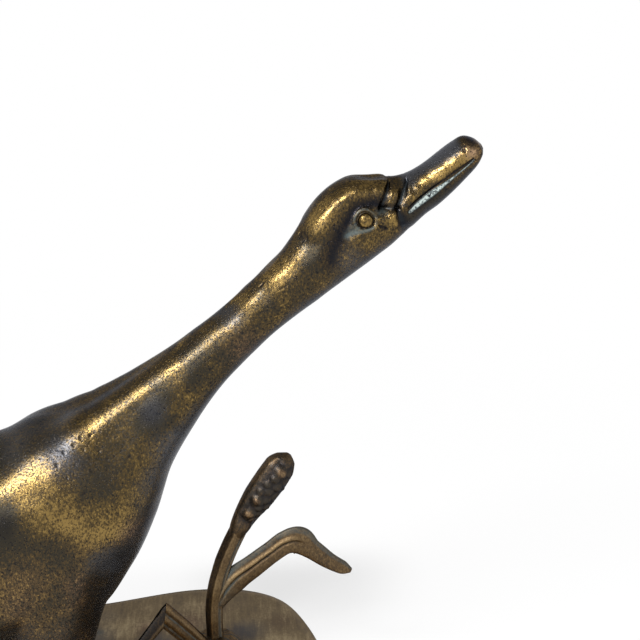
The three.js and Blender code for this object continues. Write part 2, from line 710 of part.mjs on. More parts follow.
// Assembly
const goose = new THREE.Group();
goose.name = 'bronze_goose';
goose.add(
  toMesh('base_casting', baseCasting(), paleBronze),
  toMesh('base_felt', feltPad(), felt),
  toMesh('torso_left_shell', torsoShell(1), bronze),
  toMesh('torso_right_shell', torsoShell(-1), bronze),
  toMesh('neck_head_casting', neckHead(), bronze),
  toMesh('neck_pin', neckPin(), steel),
  toMesh('tail_fan', tailFan(), bronze),
  toMesh('left_wing', wing(1), bronze),
  toMesh('right_wing', wing(-1), bronze),
  toMesh('left_leg', leg(1), bronze),
  toMesh('right_leg', leg(-1), bronze),
  toMesh('cattail', cattail, paleBronze),
  toMesh('bent_reed', bentReed, paleBronze),
  toMesh('bent_leaf', bentLeaf, paleBronze),
  toMesh('root_clump', clump, paleBronze),
  toMesh('left_leg_washer', washer(leftLegX, legSpread), steel),
  toMesh('left_leg_nut', nut(leftLegX, legSpread), steel),
  toMesh('right_leg_washer', washer(rightLegX, -legSpread), steel),
  toMesh('right_leg_nut', nut(rightLegX, -legSpread), steel),
  toMesh('clump_washer', washer(plantX, plantY), steel),
  toMesh('clump_screw', clumpScrew(), steel),
);

export default goose;
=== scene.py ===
"""Looks of the bronze goose sculpture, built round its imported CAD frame.

Shapes are worked out in millimetres, in the frame's axes, and become metres in one place,
new_mesh. +X points towards the head, +Z up, and the camera looks along +Y.
"""
import itertools
import math

import bpy
import numpy as np
from mathutils import Matrix, Vector

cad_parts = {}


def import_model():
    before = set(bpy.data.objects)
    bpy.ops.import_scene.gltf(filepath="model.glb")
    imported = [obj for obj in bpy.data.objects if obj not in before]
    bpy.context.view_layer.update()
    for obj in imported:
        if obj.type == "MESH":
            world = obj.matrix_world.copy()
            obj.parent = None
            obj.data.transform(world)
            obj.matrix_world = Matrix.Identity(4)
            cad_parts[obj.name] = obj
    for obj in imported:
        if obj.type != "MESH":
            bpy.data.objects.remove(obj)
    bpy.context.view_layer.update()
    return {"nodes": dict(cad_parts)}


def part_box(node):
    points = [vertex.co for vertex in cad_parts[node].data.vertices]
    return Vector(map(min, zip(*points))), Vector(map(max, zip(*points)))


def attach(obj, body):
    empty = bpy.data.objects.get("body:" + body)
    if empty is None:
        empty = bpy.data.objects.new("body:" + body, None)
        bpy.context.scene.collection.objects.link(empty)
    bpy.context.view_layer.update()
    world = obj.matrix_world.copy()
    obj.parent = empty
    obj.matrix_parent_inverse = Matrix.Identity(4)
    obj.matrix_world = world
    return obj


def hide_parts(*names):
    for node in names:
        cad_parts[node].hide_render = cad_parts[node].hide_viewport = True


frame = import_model()

MM = 0.001


def node_box(name):
    """Lowest and highest corner of a CAD node, in millimetres."""
    low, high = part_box(name)
    return np.array(low) / MM, np.array(high) / MM


def node_middle(name):
    low, high = node_box(name)
    return (low + high) / 2


# Levels and places of the frame
BASE_UNDER, BASE_TOP = (corner[2] for corner in node_box("base_casting"))
FIT_GAP = 0.3
FOOT_LEVEL = BASE_TOP + FIT_GAP
BELLY_HEIGHT = 14.5
BIRD_LEVEL = BASE_TOP + BELLY_HEIGHT
LEFT, RIGHT = 1, -1
SIDE_NAMES = {LEFT: "left", RIGHT: "right"}

# Bird sizes
BODY_BREADTH = 54
NECK_BREADTH = 16
HEAD_BREADTH = 20.5
BILL_BREADTH = 12.5

# Each section runs from a point on the crest line to a point on the keel line, and has a share of
# its part's breadth. The points are [x, height above the belly's lowest line].
TORSO_SECTIONS = [
    [[-104, 31], [-100, 21.5], 0.37],
    [[-88, 40], [-82, 14], 0.66],
    [[-66, 49.5], [-56, 3.7], 0.92],
    [[-44, 57.5], [-28, 0], 1.02],
    [[-27, 63.8], [-2.3, 7.3], 1.0],
    [[-14.5, 68.2], [10, 23.5], 0.9],
    [[-4, 71.6], [17, 38.5], 0.75],
    [[3.5, 75.2], [22.4, 54], 0.6],
]
NECK_SECTIONS = [
    [[20, 86.4], [33, 72], 1.32],
    [[31.5, 94.6], [41.3, 82.2], 1.08],
    [[42.7, 104.4], [52.6, 93.1], 1.0],
    [[54, 115.7], [65.4, 103.1], 1.12],
]
HEAD_SECTIONS = [
    [[65, 131.7], [80, 114.1], 1.0],
    [[71.8, 136.2], [84.5, 117.5], 0.98],
    [[78.6, 137], [87.8, 120.5], 0.86],
    [[84.7, 136.3], [90.8, 123.1], 0.72],
]
BILL_SECTIONS = [
    [[88.4, 137.1], [93.8, 125.8], 1.06],
    [[92.4, 139.1], [98.1, 129], 1.0],
    [[100.9, 145.5], [105.9, 137], 0.96],
    [[103.8, 147.1], [108.2, 139.9], 0.9],
    [[106.9, 146.5], [109.2, 142.1], 0.68],
    [[108.8, 145.1], [109.4, 143.7], 0.25],
]
BIRD_SECTIONS = [
    [crest, keel, share * breadth]
    for sections, breadth in ((TORSO_SECTIONS, BODY_BREADTH), (NECK_SECTIONS, NECK_BREADTH),
                              (HEAD_SECTIONS, HEAD_BREADTH), (BILL_SECTIONS, BILL_BREADTH))
    for crest, keel, share in sections]
NECK_JOINT = len(TORSO_SECTIONS) - 1
HEAD_START = len(TORSO_SECTIONS) + len(NECK_SECTIONS)
BILL_TIP = len(BIRD_SECTIONS) - 1


# Curves and fields

# Square root of the spacing under which two points of a curve count as one
SAME_POINT = 1e-4
# Numbers that turn a cell's place into a value that looks random
SEED_STEP = 7.31
HASH_PRIMES = (73856093, 19349663, 83492791)
HASH_FACTOR, HASH_SHIFT, HASH_HALF = 1103515245, 12345, 0x3FFFFFFF


def spline(points, places, closed=False):
    """Centripetal Catmull-Rom curve through points, at places counted in whole points."""
    points = np.asarray(points, float)
    places = np.asarray(places, float)
    if points.ndim == 1:
        return spline(points[:, None], places, closed)[:, 0]
    if closed:
        padded = np.vstack([points[-1], points, points[:2]])
        last = len(points) - 1
    else:
        padded = np.vstack([2 * points[0] - points[1], points, 2 * points[-1] - points[-2]])
        last = len(points) - 2
    first = np.clip(np.floor(places).astype(int), 0, last)
    w = (places - first)[:, None]
    a, b, c, d = (padded[first + step] for step in range(4))
    ab, bc, cd = (np.sqrt(np.linalg.norm(q - p, axis=1))[:, None] for p, q in ((a, b), (b, c), (c, d)))
    bc = np.where(bc < SAME_POINT, 1, bc)
    ab = np.where(ab < SAME_POINT, bc, ab)
    cd = np.where(cd < SAME_POINT, bc, cd)
    start = ((b - a) / ab - (c - a) / (ab + bc) + (c - b) / bc) * bc
    end = ((c - b) / bc - (d - b) / (bc + cd) + (d - c) / cd) * bc
    return b + start * w + (3 * (c - b) - 2 * start - end) * w**2 + (2 * (b - c) + start + end) * w**3


def ease(low, high, value):
    """0 up to low and 1 from high on, with a smooth rise between them."""
    share = np.clip((value - low) / (high - low), 0, 1)
    return share * share * (3 - 2 * share)


def hill(distance, width):
    """1 at no distance, falling to 0 at width, round at both ends."""
    return 1 - ease(0, width, np.abs(distance))


def soft_noise(points, size, seed=0):
    """Smooth noise from about -1 to 1, with hills about size apart."""
    cell = points / size + seed * SEED_STEP
    corner = np.floor(cell).astype(np.int64)
    share = ease(0, 1, cell - corner)
    total = np.zeros(points.shape[:-1])
    for step in itertools.product((0, 1), repeat=3):
        x, y, z = np.moveaxis((corner + np.array(step)) * HASH_PRIMES, -1, 0)
        mixed = ((x ^ y ^ z) * HASH_FACTOR + HASH_SHIFT) & (2 * HASH_HALF + 1)
        total += (mixed / HASH_HALF - 1) * np.prod(np.where(step, share, 1 - share), axis=-1)
    return total


def uneven(points, *layers):
    """Sum of smooth noises, each given as (height, spacing, seed)."""
    return sum(height * soft_noise(points, spacing, seed) for height, spacing, seed in layers)


def line_distance(points, line):
    """Distance of points from a broken line in the same plane, and how far along it they are."""
    best = np.full(points.shape[:-1], np.inf)
    along = np.zeros(points.shape[:-1])
    line = np.asarray(line, float)
    for i, (a, b) in enumerate(zip(line[:-1], line[1:])):
        share = np.clip((points - a) @ (b - a) / ((b - a) @ (b - a)), 0, 1)
        distance = np.linalg.norm(points - a - share[..., None] * (b - a), axis=-1)
        nearer = distance < best
        best = np.where(nearer, distance, best)
        along = np.where(nearer, (i + share) / (len(line) - 1), along)
    return best, along


def from_point(flat, centre, stretch=(1, 1)):
    """Distance of points from a centre in the same plane."""
    return np.linalg.norm((flat - np.asarray(centre)) * stretch, axis=-1)


def swellings(flat, table, spread=1.0):
    """Sum of round hills, each given as [x, z, reach, height]."""
    total = np.zeros(flat.shape[:2])
    for x, z, reach, height in table:
        total += height * hill(from_point(flat, (x, z)), spread * reach)
    return total


def turns(sides):
    """Even angles all the way round."""
    return np.arange(sides) * 2 * math.pi / sides


def even_places(points, count):
    """Places along a whole line of points, evenly apart."""
    return np.linspace(0, len(points) - 1, count)


def off_lane(place):
    """0 in the middle of each lane, which is 1 wide, and 1 at its edges."""
    return 2 * np.abs(place - np.floor(place) - 0.5)


def circle(radius, sides):
    angle = turns(sides)
    return np.stack([np.cos(angle), np.sin(angle)], axis=-1) * radius


def grid_normals(grid):
    """Outward normals of a grid of rings, each ring closed."""
    along = np.gradient(grid, axis=0)
    around = np.roll(grid, -1, axis=1) - np.roll(grid, 1, axis=1)
    normals = np.cross(along, around)
    normals /= np.linalg.norm(normals, axis=2, keepdims=True) + 1e-12
    outward = grid - grid.mean(axis=1, keepdims=True)
    return normals * np.sign((normals * outward).sum())


def raised(grid, lift):
    return grid + grid_normals(grid) * lift[..., None]


# Meshes

def new_object(name, data):
    thing = bpy.data.objects.new(name, data)
    bpy.context.scene.collection.objects.link(thing)
    return thing


def new_mesh(name, points, faces):
    """Object of faces between points, which are in millimetres."""
    mesh = bpy.data.meshes.new(name)
    mesh.from_pydata((np.asarray(points) * MM).tolist(), [], faces)
    return new_object(name, mesh)


def mesh_piece(name, grid, material, nodes, marks, sharp_rings=()):
    """A closed skin over rings of equal count, in millimetres, which stands for CAD nodes."""
    rings, sides = grid.shape[:2]
    points = np.vstack([grid.reshape(-1, 3), grid[0].mean(axis=0), grid[-1].mean(axis=0)])
    here = np.arange(sides)
    ahead = (here + 1) % sides
    start = np.arange(rings - 1)[:, None] * sides
    quads = np.stack([start + here, start + ahead, start + sides + ahead, start + sides + here], axis=-1)
    quads = quads.reshape(-1, 4)
    hub, last = np.full(sides, rings * sides), (rings - 1) * sides
    first_fan = np.column_stack([hub, ahead, here])
    last_fan = np.column_stack([hub + 1, last + here, last + ahead])
    piece = new_mesh(name, points, quads.tolist() + first_fan.tolist() + last_fan.tolist())
    mesh = piece.data
    if signed_volume(points, quads) < 0:
        mesh.flip_normals()
    for mark, values in marks.items():
        layer = mesh.attributes.new(mark, "FLOAT", "POINT")
        layer.data.foreach_set("value", np.append(values.ravel(), [values[0].mean(), values[-1].mean()]))
    mesh.shade_smooth()
    ends = np.empty(2 * len(mesh.edges), int)
    mesh.edges.foreach_get("vertices", ends)
    on_ring = ends.reshape(-1, 2) // sides
    sharp = np.isin(on_ring, sharp_rings).all(axis=1) & (on_ring[:, 0] == on_ring[:, 1])
    mesh.attributes.new("sharp_edge", "BOOLEAN", "EDGE").data.foreach_set("value", sharp)
    mesh.materials.append(material)
    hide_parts(*nodes)
    return piece


def signed_volume(points, quads):
    a, b, c, d = (points[quads[:, i]] - points.mean(axis=0) for i in range(4))
    return (a * np.cross(b, c)).sum() + (a * np.cross(c, d)).sum()


def ellipse_grid(centres, across, upward, sides):
    """Rings round centres, from each ring's two half axes."""
    angle = turns(sides)
    return (centres[:, None] + across[:, None] * np.cos(angle)[None, :, None]
            + upward[:, None] * np.sin(angle)[None, :, None])


# What the patina reads at each point: how worn to gold it is, a mark that also holds painted highlights
# and painted shade, how hollow and green it is, and its hues
MARKS = ("rubbed", "hollow", "verdigris", "red", "blue")


def plain_marks(grid, **changes):
    """Marks that are 0 all over a grid, but for those given."""
    blank = np.zeros(grid.shape[:2])
    return {name: blank + changes.get(name, 0) for name in MARKS}


def plant_piece(name, grid, node, **changes):
    return mesh_piece(name, grid, PLANT_BRONZE, [node], plain_marks(grid, **changes))


# Bird skin

def bird_section(places):
    """Centre, half axis towards the crest and half breadth at places along the bird."""
    crest, keel, breadth = (spline([section[part] for section in BIRD_SECTIONS], places)
                            for part in range(3))
    middle, half = (crest + keel) / 2, (crest - keel) / 2
    flat = np.zeros(len(places))
    centre = np.stack([middle[:, 0], flat, middle[:, 1] + BIRD_LEVEL], axis=-1)
    return centre, np.stack([half[:, 0], flat, half[:, 1]], axis=-1), breadth / 2


# Soft ridge down over each shoulder, with a flatter face under it; turns are from the crest
SHOULDER_RIDGE = 1.8
RIDGE_TURNS = np.radians([49, 29])
RIDGE_WIDTH = math.radians(30)
FLAT_TURN = math.radians(44)
FLAT_SHARE = 0.6
# Places along the bird where the ridge comes up, nears the crest and dies out
RIDGE_START, RIDGE_BEND, RIDGE_END = (1, 3), (3.2, 6.4), (6.5, 8.5)


def ridge_at(places, sides):
    """How far each section stands out from its ellipse."""
    places = np.asarray(places)[:, None]
    along = ease(*RIDGE_START, places) * ease(*RIDGE_END[::-1], places)
    first, last = RIDGE_TURNS
    turn = math.pi - np.abs(math.pi - turns(sides))
    from_ridge = turn - first - (last - first) * ease(*RIDGE_BEND, places)
    flat = FLAT_SHARE * hill(from_ridge - FLAT_TURN, RIDGE_WIDTH)
    return SHOULDER_RIDGE * along * (hill(from_ridge, RIDGE_WIDTH) - flat)


def bird_grid(places, sides):
    centre, to_crest, half_breadth = bird_section(places)
    to_flank = np.zeros_like(centre)
    to_flank[:, 1] = half_breadth
    grid = ellipse_grid(centre, to_crest, to_flank, sides)
    outward = grid - centre[:, None]
    outward /= np.linalg.norm(outward, axis=2, keepdims=True)
    return grid + ridge_at(places, sides)[..., None] * outward


def flat_places(grid):
    """The grid's points as seen from the side: x and z."""
    return grid[..., [0, 2]]


def belly_level(x, y, reach=2):
    """Height of the belly's skin above a point of the base, the lowest within reach."""
    skin = bird_grid(np.linspace(1, NECK_JOINT, 160), 160).reshape(-1, 3)
    return skin[from_point(skin[:, :2], (x, y)) < reach, 2].min()


# Patches on the flank, as [x, z, reach, change]: above 0 golden, below 0 dark. The golden ones along the
# shoulder ridge and in a band on the breast below it are a painted highlight, the dark ones along the
# back above the ridge a painted dark reflection, and the dark one near x 30, z 116 painted shade over
# the neck's highlight; the rest are worn gold and dark patina
PATCHES = [
    [-20, 84, 5, 0.9], [-13, 87, 5, 0.7], [-1, 97, 5, 0.3], [14, 105, 4, 0.7], [24, 111, 4, 0.6],
    [-16, 78, 4, 0.8], [-9, 77, 6, 1.1], [-3, 71, 6, 1], [6, 69, 6, 0.9], [10, 76, 5, 0.5],
    [-21, 93, 8, -0.9], [-12, 96, 7, -0.5], [-2, 101, 5, -0.4], [-24, 74, 6, -1.2], [-22, 67, 6, -0.6],
    [-1, 84, 6, -0.6], [6, 84, 6, -0.5], [16, 101, 4, -1.1], [20, 104, 4, -0.8], [23, 96, 6, -0.4],
    [29, 110, 4, -0.7], [-8, 64, 7, -0.4], [4, 60, 6, -0.9], [-2, 50, 6, -0.4], [-22, 57, 8, 0.1],
    [-30, 60, 10, 0.2], [20, 88, 5, 0.3], [30, 116, 4, -0.4], [39, 127, 4, -1.1], [44, 129, 3, 0.3],
    [53, 137, 4, 1], [57, 141, 3, 0.4], [62, 147, 4, -0.4], [62, 141.5, 3.5, -0.9],
    [105.5, 170.5, 2.6, 1.6], [17, 99, 5, -0.8], [21, 88, 5, -0.4], [-7, 91, 4, -0.5],
    [-22, 77, 5, -0.6], [-24, 87, 5, -0.6], [65, 153, 4, 0.2], [59, 134, 5, -0.5], [50, 130, 3, -0.4],
    [38, 112, 6, -0.4], [-6, 38, 10, 0.1], [-20, 40, 9, -0.1], [-45, 60, 12, -0.3], [-50, 78, 9, 0.5],
    [71, 144, 5, 0.3], [75, 141, 5, -0.2],
]
# Red-brown and blue-black patches, as [x, z, reach, share]; the blue-black ones high on the back, near
# z 94 to 97, add to the painted dark reflection there
RED_PATCHES = [
    [-6, 42, 9, 0.55], [-20, 56, 10, 0.4], [-22, 46, 7, 0.4], [12, 66, 6, 0.8], [44, 116, 7, 0.8],
    [-4, 54, 5, 0.6], [-8, 34, 7, 0.6], [-2, 58, 14, 0.2], [105.5, 170.5, 3, 1],
]
BLUE_PATCHES = [
    [-7, 90, 6, 1], [-21, 94, 8, 0.4], [21, 90, 5, 0.8], [4, 60, 6, 0.8], [6, 54, 5, 0.8],
    [19, 72, 5, 0.8], [22, 84, 5, 0.8], [25, 92, 4, 0.8], [72, 142, 5, 0.8], [-10, 97, 6, 0.1],
    [18, 101, 4, 0.5], [39, 127, 4, 0.5], [12, 62, 4, 0.8],
]
# Height at which the painted shade on the breast's front lets the golden band through, and how far from
# there it goes
GOLDEN_LEVEL, GOLDEN_REACH = 71, 15
# Places in x where the painted shade on the breast's front ends
BREAST_SHADE_END = (80, 60)
# Shift of the patches on the far side, so that the flanks differ, as (distance, spacing, seed)
FAR_SHIFT = (9, 17, 14)


def patch_sum(flat, patches):
    """Patches spread wide, so that each fades into the next."""
    return swellings(flat, patches, 1.5)


def body_marks(grid):
    """Marks of the bird's skin: the patches on its flanks, and painted shade on the breast's front and
    underside.
    """
    facing = grid_normals(grid)
    away = ease(-0.5, 0.1, facing[..., 1])
    flat = flat_places(grid) + (away * uneven(grid, FAR_SHIFT))[..., None]
    red, blue = (patch_sum(flat, patches).clip(0, 1) for patches in (RED_PATCHES, BLUE_PATCHES))
    # front and under are painted shade: darker and bluer where the skin faces forward on the breast and
    # where it faces down; hollow is blackest where the patches and this shade are darkest
    front = ease(0.4, 0.8, facing[..., 0]) * ease(*BREAST_SHADE_END, flat[..., 0])
    front = front * (1 - 0.75 * hill(flat[..., 1] - GOLDEN_LEVEL, GOLDEN_REACH))
    under = np.maximum(ease(-0.3, -0.75, facing[..., 2]), front)
    rubbed = patch_sum(flat, PATCHES) - 0.6 * under
    hollow = 0.5 * ease(-0.8, -1.8, rubbed)
    return plain_marks(grid, rubbed=rubbed, hollow=hollow, red=red, blue=np.maximum(blue, under))


def body_piece(name, grid, node, **changes):
    return mesh_piece(name, grid, BRONZE, [node], body_marks(grid) | changes)


class Relief:
    """Height and marks of a skin, shaped as seen from the side."""

    def __init__(self, grid):
        self.grid = grid
        self.normals = grid_normals(grid)
        self.flat = flat_places(grid)
        self.flank = ease(0.05, 0.35, np.abs(self.normals[..., 1]))
        self.lift = np.zeros(grid.shape[:2])
        self.marks = body_marks(grid)

    def on_line(self, line, width):
        """1 along a line on the flanks, falling to 0 at width from it."""
        return hill(line_distance(self.flat, line)[0], width) * self.flank

    def on_spot(self, centre, reach):
        return hill(from_point(self.flat, centre), reach) * self.flank

    def stain(self, mark, shape):
        self.marks[mark] = np.maximum(self.marks[mark], shape)

    def dig(self, shape, depth, hollow=0.0, green=0.0):
        """Lower the skin where shape is above 0, and make it dark or green there."""
        self.lift = self.lift - depth * shape
        self.stain("hollow", hollow * shape)
        self.stain("verdigris", green * shape)

    def dig_lines(self, table, pointed=False):
        """Dig along lines, given as (line, half width, depth, hollow, green); pointed lines are
        narrower at their start."""
        for line, half_width, depth, hollow, green in table:
            distance, along = line_distance(self.flat, line)
            share = 0.4 + 0.6 * ease(0, 0.5, along) if pointed else 1
            self.dig(hill(distance, half_width * share) * self.flank, depth, hollow, green)

    def lifted(self):
        return self.grid + self.normals * self.lift[..., None]


# Torso

LEG_PLACES = {side: node_middle(SIDE_NAMES[side] + "_leg_nut")[:2] for side in (LEFT, RIGHT)}
HIP_LEAN = 3
HIP_DROP = 14
# Distances from the thigh's middle at which the drop begins, and where it is whole
HIP_REACHES = (14.5, 6.5)
# Unevenness, here and below, as (height, spacing, seed)
TORSO_NOISE = (0.3, 26, 1), (0.12, 11, 2)
# Swellings under the shoulder ridge, as [x, z, reach, height]
TORSO_BUMPS = [
    [-10, 78, 13, 1.4], [-3, 85, 10, 0.6], [-4, 96, 6, 0.35], [-18, 96, 10, 0.8], [-25, 86, 9, -0.6],
]
# Casting pits on the flank, in x and z, wider than high
PITS = [
    [-4.1, 93.2], [-2.2, 94.8], [-1.4, 92.2], [0.5, 95.5], [-6.8, 91.7], [-8.5, 88.9], [-4.1, 86.5],
    [-3.7, 88.7], [2.8, 91.5], [4.9, 89.3], [4.6, 75.8], [-1.7, 81.4], [-6, 85.8], [0.4, 87],
]
PIT_REACH = 0.75
PIT_DEPTH = 0.3
PIT_STRETCH = (1, 1.6)
# Place along the bird from which the rings are closer together, for the pits
PITTED_FROM = 3.2


def torso():
    """Both shells as one skin, with the hips drawn down into the thighs."""
    places = np.concatenate([np.linspace(0, PITTED_FROM, 90, endpoint=False),
                             np.linspace(PITTED_FROM, NECK_JOINT, 180)])
    skin = Relief(bird_grid(places, 360))
    share = (places / NECK_JOINT)[:, None]
    ends = ease(0, 0.06, share) * ease(1, 0.92, share)
    skin.lift = ends * uneven(skin.grid, *TORSO_NOISE) + swellings(skin.flat, TORSO_BUMPS)
    for pit in PITS:
        skin.dig(hill(from_point(skin.flat, pit, PIT_STRETCH), PIT_REACH), PIT_DEPTH, 1)
    under = ease(0.1, 0.45, -skin.normals[..., 2])
    grid = skin.lifted()
    for x, y in LEG_PLACES.values():
        from_thigh = from_point(skin.grid[..., :2], (x + 0.8 * HIP_LEAN, 0.94 * y))
        grid[..., 2] -= HIP_DROP * ease(*HIP_REACHES, from_thigh) * under
    return mesh_piece("torso_skin", grid, BRONZE,
                      ["torso_left_shell", "torso_right_shell"], skin.marks, (0, len(places) - 1))


# Face, in x and z on the flank
EYE = np.array([76.4, 153.4])
EYE_DIAMETER = 4.0
EYE_PROUD = 1.25
EYE_NOISE = (0.22, 1.6, 13)
# Radius, half width and height or depth of the rings round the eye
EYELID, EYELID_WIDTH, EYELID_HEIGHT = 3.0, 0.9, 0.22
EYE_GROOVE, GROOVE_WIDTH, GROOVE_DEPTH = 2.2, 0.42, 0.4
SOCKET = [[71.4, 149.3], [73.8, 152], [76.4, 153.4], [79.2, 154.6], [81.6, 155.6]]
REAR_CORNER = [[71.3, 149.1], [73, 150.1], [74.3, 151.2]]
LOWER_LID = [[72, 149.7], [74.2, 150.2], [76.4, 150.6], [78.2, 151.4]]
FRONT_CORNER = [[79, 154.2], [80.6, 155], [81.6, 156.4]]
BROW_SHADOW = [
    [70.9, 152.2], [72.1, 154.3], [73.6, 156.5], [75.9, 157.8], [78.4, 158.2], [80.4, 157.7],
    [81.4, 156.6],
]
SLIT_1 = [[83.3, 162.3], [82.2, 159.8], [81.3, 156.9]]
SLIT_2 = [[88.2, 162.8], [87.3, 160.9], [86.5, 158.7], [85.5, 156.4]]
LORE_CREASE = [[81.3, 156.9], [83.4, 156.3], [85.5, 156.4]]
CHEEK_CREASE = [[85.5, 156.2], [86.3, 153.6], [87.9, 150]]
CHEEK_CREVICE = [[80.2, 152], [81, 151.2], [82.2, 150.6]]
# Bumps, as [x, z, reach, height]
FACE_BUMPS = [
    [83.6, 153.5, 2.7, 0.6], [85, 151.8, 1.3, 0.3], [84.6, 159.8, 2.2, 0.5], [89.4, 158.8, 1.9, 0.45],
    [80, 153.8, 1, 0.35], [79.2, 151.7, 1.1, 0.3], [91, 160.6, 1.6, 0.2], [93, 162.9, 1.9, 0.12],
    [97.6, 165.9, 1.5, 0.12], [100.4, 167.4, 1.3, 0.12],
]
NECK_BUMPS = [
    [53, 136.5, 5, 0.45], [58.3, 142.1, 3.5, 0.25], [39.2, 127.5, 5, -0.5], [61.7, 146.5, 4, -0.35],
    [64.8, 152.6, 4.5, 0.3], [50.1, 131, 3.5, -0.25], [45.5, 129.5, 3.5, 0.25], [30, 117.5, 6, 0.2],
    [80, 159.9, 3.3, 0.55],
]
# The mouth's dark line, and the streak of verdigris under it with its half widths
LIP_LINE = [[88.6, 155.9], [90.4, 157.4], [93.9, 160.2], [97.1, 162.6], [101.6, 165.8], [105.9, 168.4]]
STREAK = [[88.9, 154.6], [91.5, 156.7], [94.6, 159.1], [97.8, 161.5], [101.9, 164.6], [106.4, 168]]
STREAK_WIDTHS = [0.6, 1.15, 1.25, 0.9, 0.5, 0.25]
JAW = [[88, 152.6], [93.2, 154.9], [99.4, 159], [105.4, 164.4]]
BILL_TOP = [[88.4, 163.6], [90.3, 164.8], [95.7, 168], [100.8, 171.8]]
BILL_GOLD = [[92.4, 162.6], [99, 166.4], [104.6, 169.8]]
CROWN_RIDGE = [[62.5, 149.9], [65.6, 153.9], [68.8, 157.2], [73, 160.3], [77.6, 161.7], [81.2, 161.4]]
CROWN_RIDGE_WIDTH, CROWN_RIDGE_HEIGHT = 3.6, 0.8
CROWN_TOP = (78.8, 164.4)
CROWN_TOP_REACH, CROWN_DIP = 6, 0.9
CROWN_SLOPE = [[70.5, 154.8], [74.2, 157.9], [78.6, 158.9], [81, 158.4]]
EAR = [[70.6, 150.8], [68.9, 147.9], [67.8, 144.9], [67.2, 141.9]]
TIP_SPOT, TIP_SPOT_REACH = (105.8, 173.4), 3
TIP_PIT, TIP_PIT_REACH = (103.4, 170.8), 0.7
# Ring punched into the neck
PUNCH_MARK, PUNCH_RADIUS, PUNCH_WIDTH = (60.1, 148.3), 0.9, 0.45
CRACK_1 = [[48.2, 134.2], [49.4, 135.2]]
CRACK_2 = [[53.4, 134.3], [54.9, 134.9]]
NECK_NOISE = (0.22, 14, 3), (0.08, 5, 4)

# Lines dug into the skin, as (line, half width, depth, hollow, green): first round the eye
SOCKET_LINES = [
    (CROWN_SLOPE, 4.4, 0.6, 0, 0),
    (SOCKET, 3.9, 0.75, 0, 0),
    (BROW_SHADOW, 3.1, 0.7, 1, 0),
    (SOCKET, 3.4, 0, 0, 0.26),
    (REAR_CORNER, 1.9, 0.15, 0, 0.36),
    (LOWER_LID, 1.5, 0.1, 0.3, 0.36),
    (FRONT_CORNER, 1.5, 0.1, 0.3, 0.3),
]
POINTED_LINES = [
    (SLIT_1, 1.6, 0.9, 1, 0.2),
    (SLIT_2, 1.7, 0.9, 1, 0.22),
    (LORE_CREASE, 1.5, 0.5, 0.9, 0.2),
    (CHEEK_CREASE, 2.6, 0.8, 1, 0.18),
    (CHEEK_CREVICE, 1.0, 0.5, 1, 0),
]
OTHER_LINES = [
    (LIP_LINE, 0.85, 0.5, 1, 0),
    (EAR, 4.8, 0.45, 0.95, 0),
    (CRACK_1, 0.4, 0.2, 0.9, 0),
    (CRACK_2, 0.4, 0.2, 0.9, 0),
]
# Lines made golden, and lines kept dark, as (line, half width, change); the gold along the crown ridge
# is partly wear on the raised ridge and partly a painted highlight
GOLD_AND_DARK_LINES = [(JAW, 3, -1.6), (BILL_GOLD, 2.6, 1.0), (CROWN_RIDGE, CROWN_RIDGE_WIDTH, 0.9)]


def socket(face):
    """Crown, brow and the hollow round the eye."""
    face.lift = face.lift + CROWN_RIDGE_HEIGHT * face.on_line(CROWN_RIDGE, CROWN_RIDGE_WIDTH)
    face.lift -= CROWN_DIP * hill(from_point(face.flat, CROWN_TOP), CROWN_TOP_REACH)
    face.dig_lines(SOCKET_LINES)


def eye(face):
    """Eyeball in its groove, within a raised lid."""
    from_eye = from_point(face.flat, EYE) + uneven(face.grid, EYE_NOISE)
    lid = hill(from_eye - EYELID, EYELID_WIDTH) * face.flank
    face.marks["hollow"] *= 1 - 0.8 * lid
    face.dig(lid, -EYELID_HEIGHT, 0, 0.26)
    below = 0.65 + 0.35 * ease(0.5, -1, face.flat[..., 1] - EYE[1])
    face.dig(hill(from_eye - EYE_GROOVE, GROOVE_WIDTH) * face.flank * below, GROOVE_DEPTH, 1)
    share = from_eye / (EYE_DIAMETER / 2)
    face.lift += EYE_PROUD * np.sqrt(np.clip(1 - share**2, 0, 1)) * (face.flank > 0.5)
    on_eye = ease(1, 0.85, share)
    face.marks["hollow"] *= 1 - on_eye
    face.marks["verdigris"] *= 1 - ease(1.25, 1.05, share)
    face.marks["rubbed"] += 0.8 * on_eye * face.flank


def mouth(face):
    """Streak of verdigris under the lips, in a dark groove."""
    distance, along = line_distance(face.flat, STREAK)
    width = spline(STREAK_WIDTHS, along.ravel() * (len(STREAK) - 1)).reshape(along.shape)
    streak = hill(distance, width) * face.flank
    face.dig(hill(distance, 1.9 * width) * face.flank, 0.7, 0.9)
    face.marks["hollow"] *= 1 - streak
    face.dig(streak, -0.2, 0, 1.5 - 0.7 * ease(0.45, 0.75, along))


def face_marks(face):
    """Bumps, marks and stains over the face and the neck, with a painted highlight along the crown ridge
    and painted shade on the bill's top.
    """
    for x, z, reach, height in FACE_BUMPS:
        bump = face.on_spot((x, z), reach)
        face.lift += height * bump
        face.marks["rubbed"] += 1.2 * bump
    face.lift += swellings(face.flat, NECK_BUMPS, 1.4) * face.flank
    for line, width, change in GOLD_AND_DARK_LINES:
        face.marks["rubbed"] += change * face.on_line(line, width)
    # The bill's upward face is made dark and blue-black: painted shade
    from_top = line_distance(face.flat, BILL_TOP)[0]
    face.marks["rubbed"] -= 1.8 * hill(from_top, 2.9)
    face.stain("blue", hill(from_top, 3))
    face.stain("hollow", hill(from_point(face.flat, TIP_SPOT), TIP_SPOT_REACH))
    face.dig(face.on_spot(TIP_PIT, TIP_PIT_REACH), 0.35, 1)
    off_ring = from_point(face.flat, PUNCH_MARK) - PUNCH_RADIUS
    face.dig(hill(off_ring, PUNCH_WIDTH) * face.flank, 0.3, 0.8)


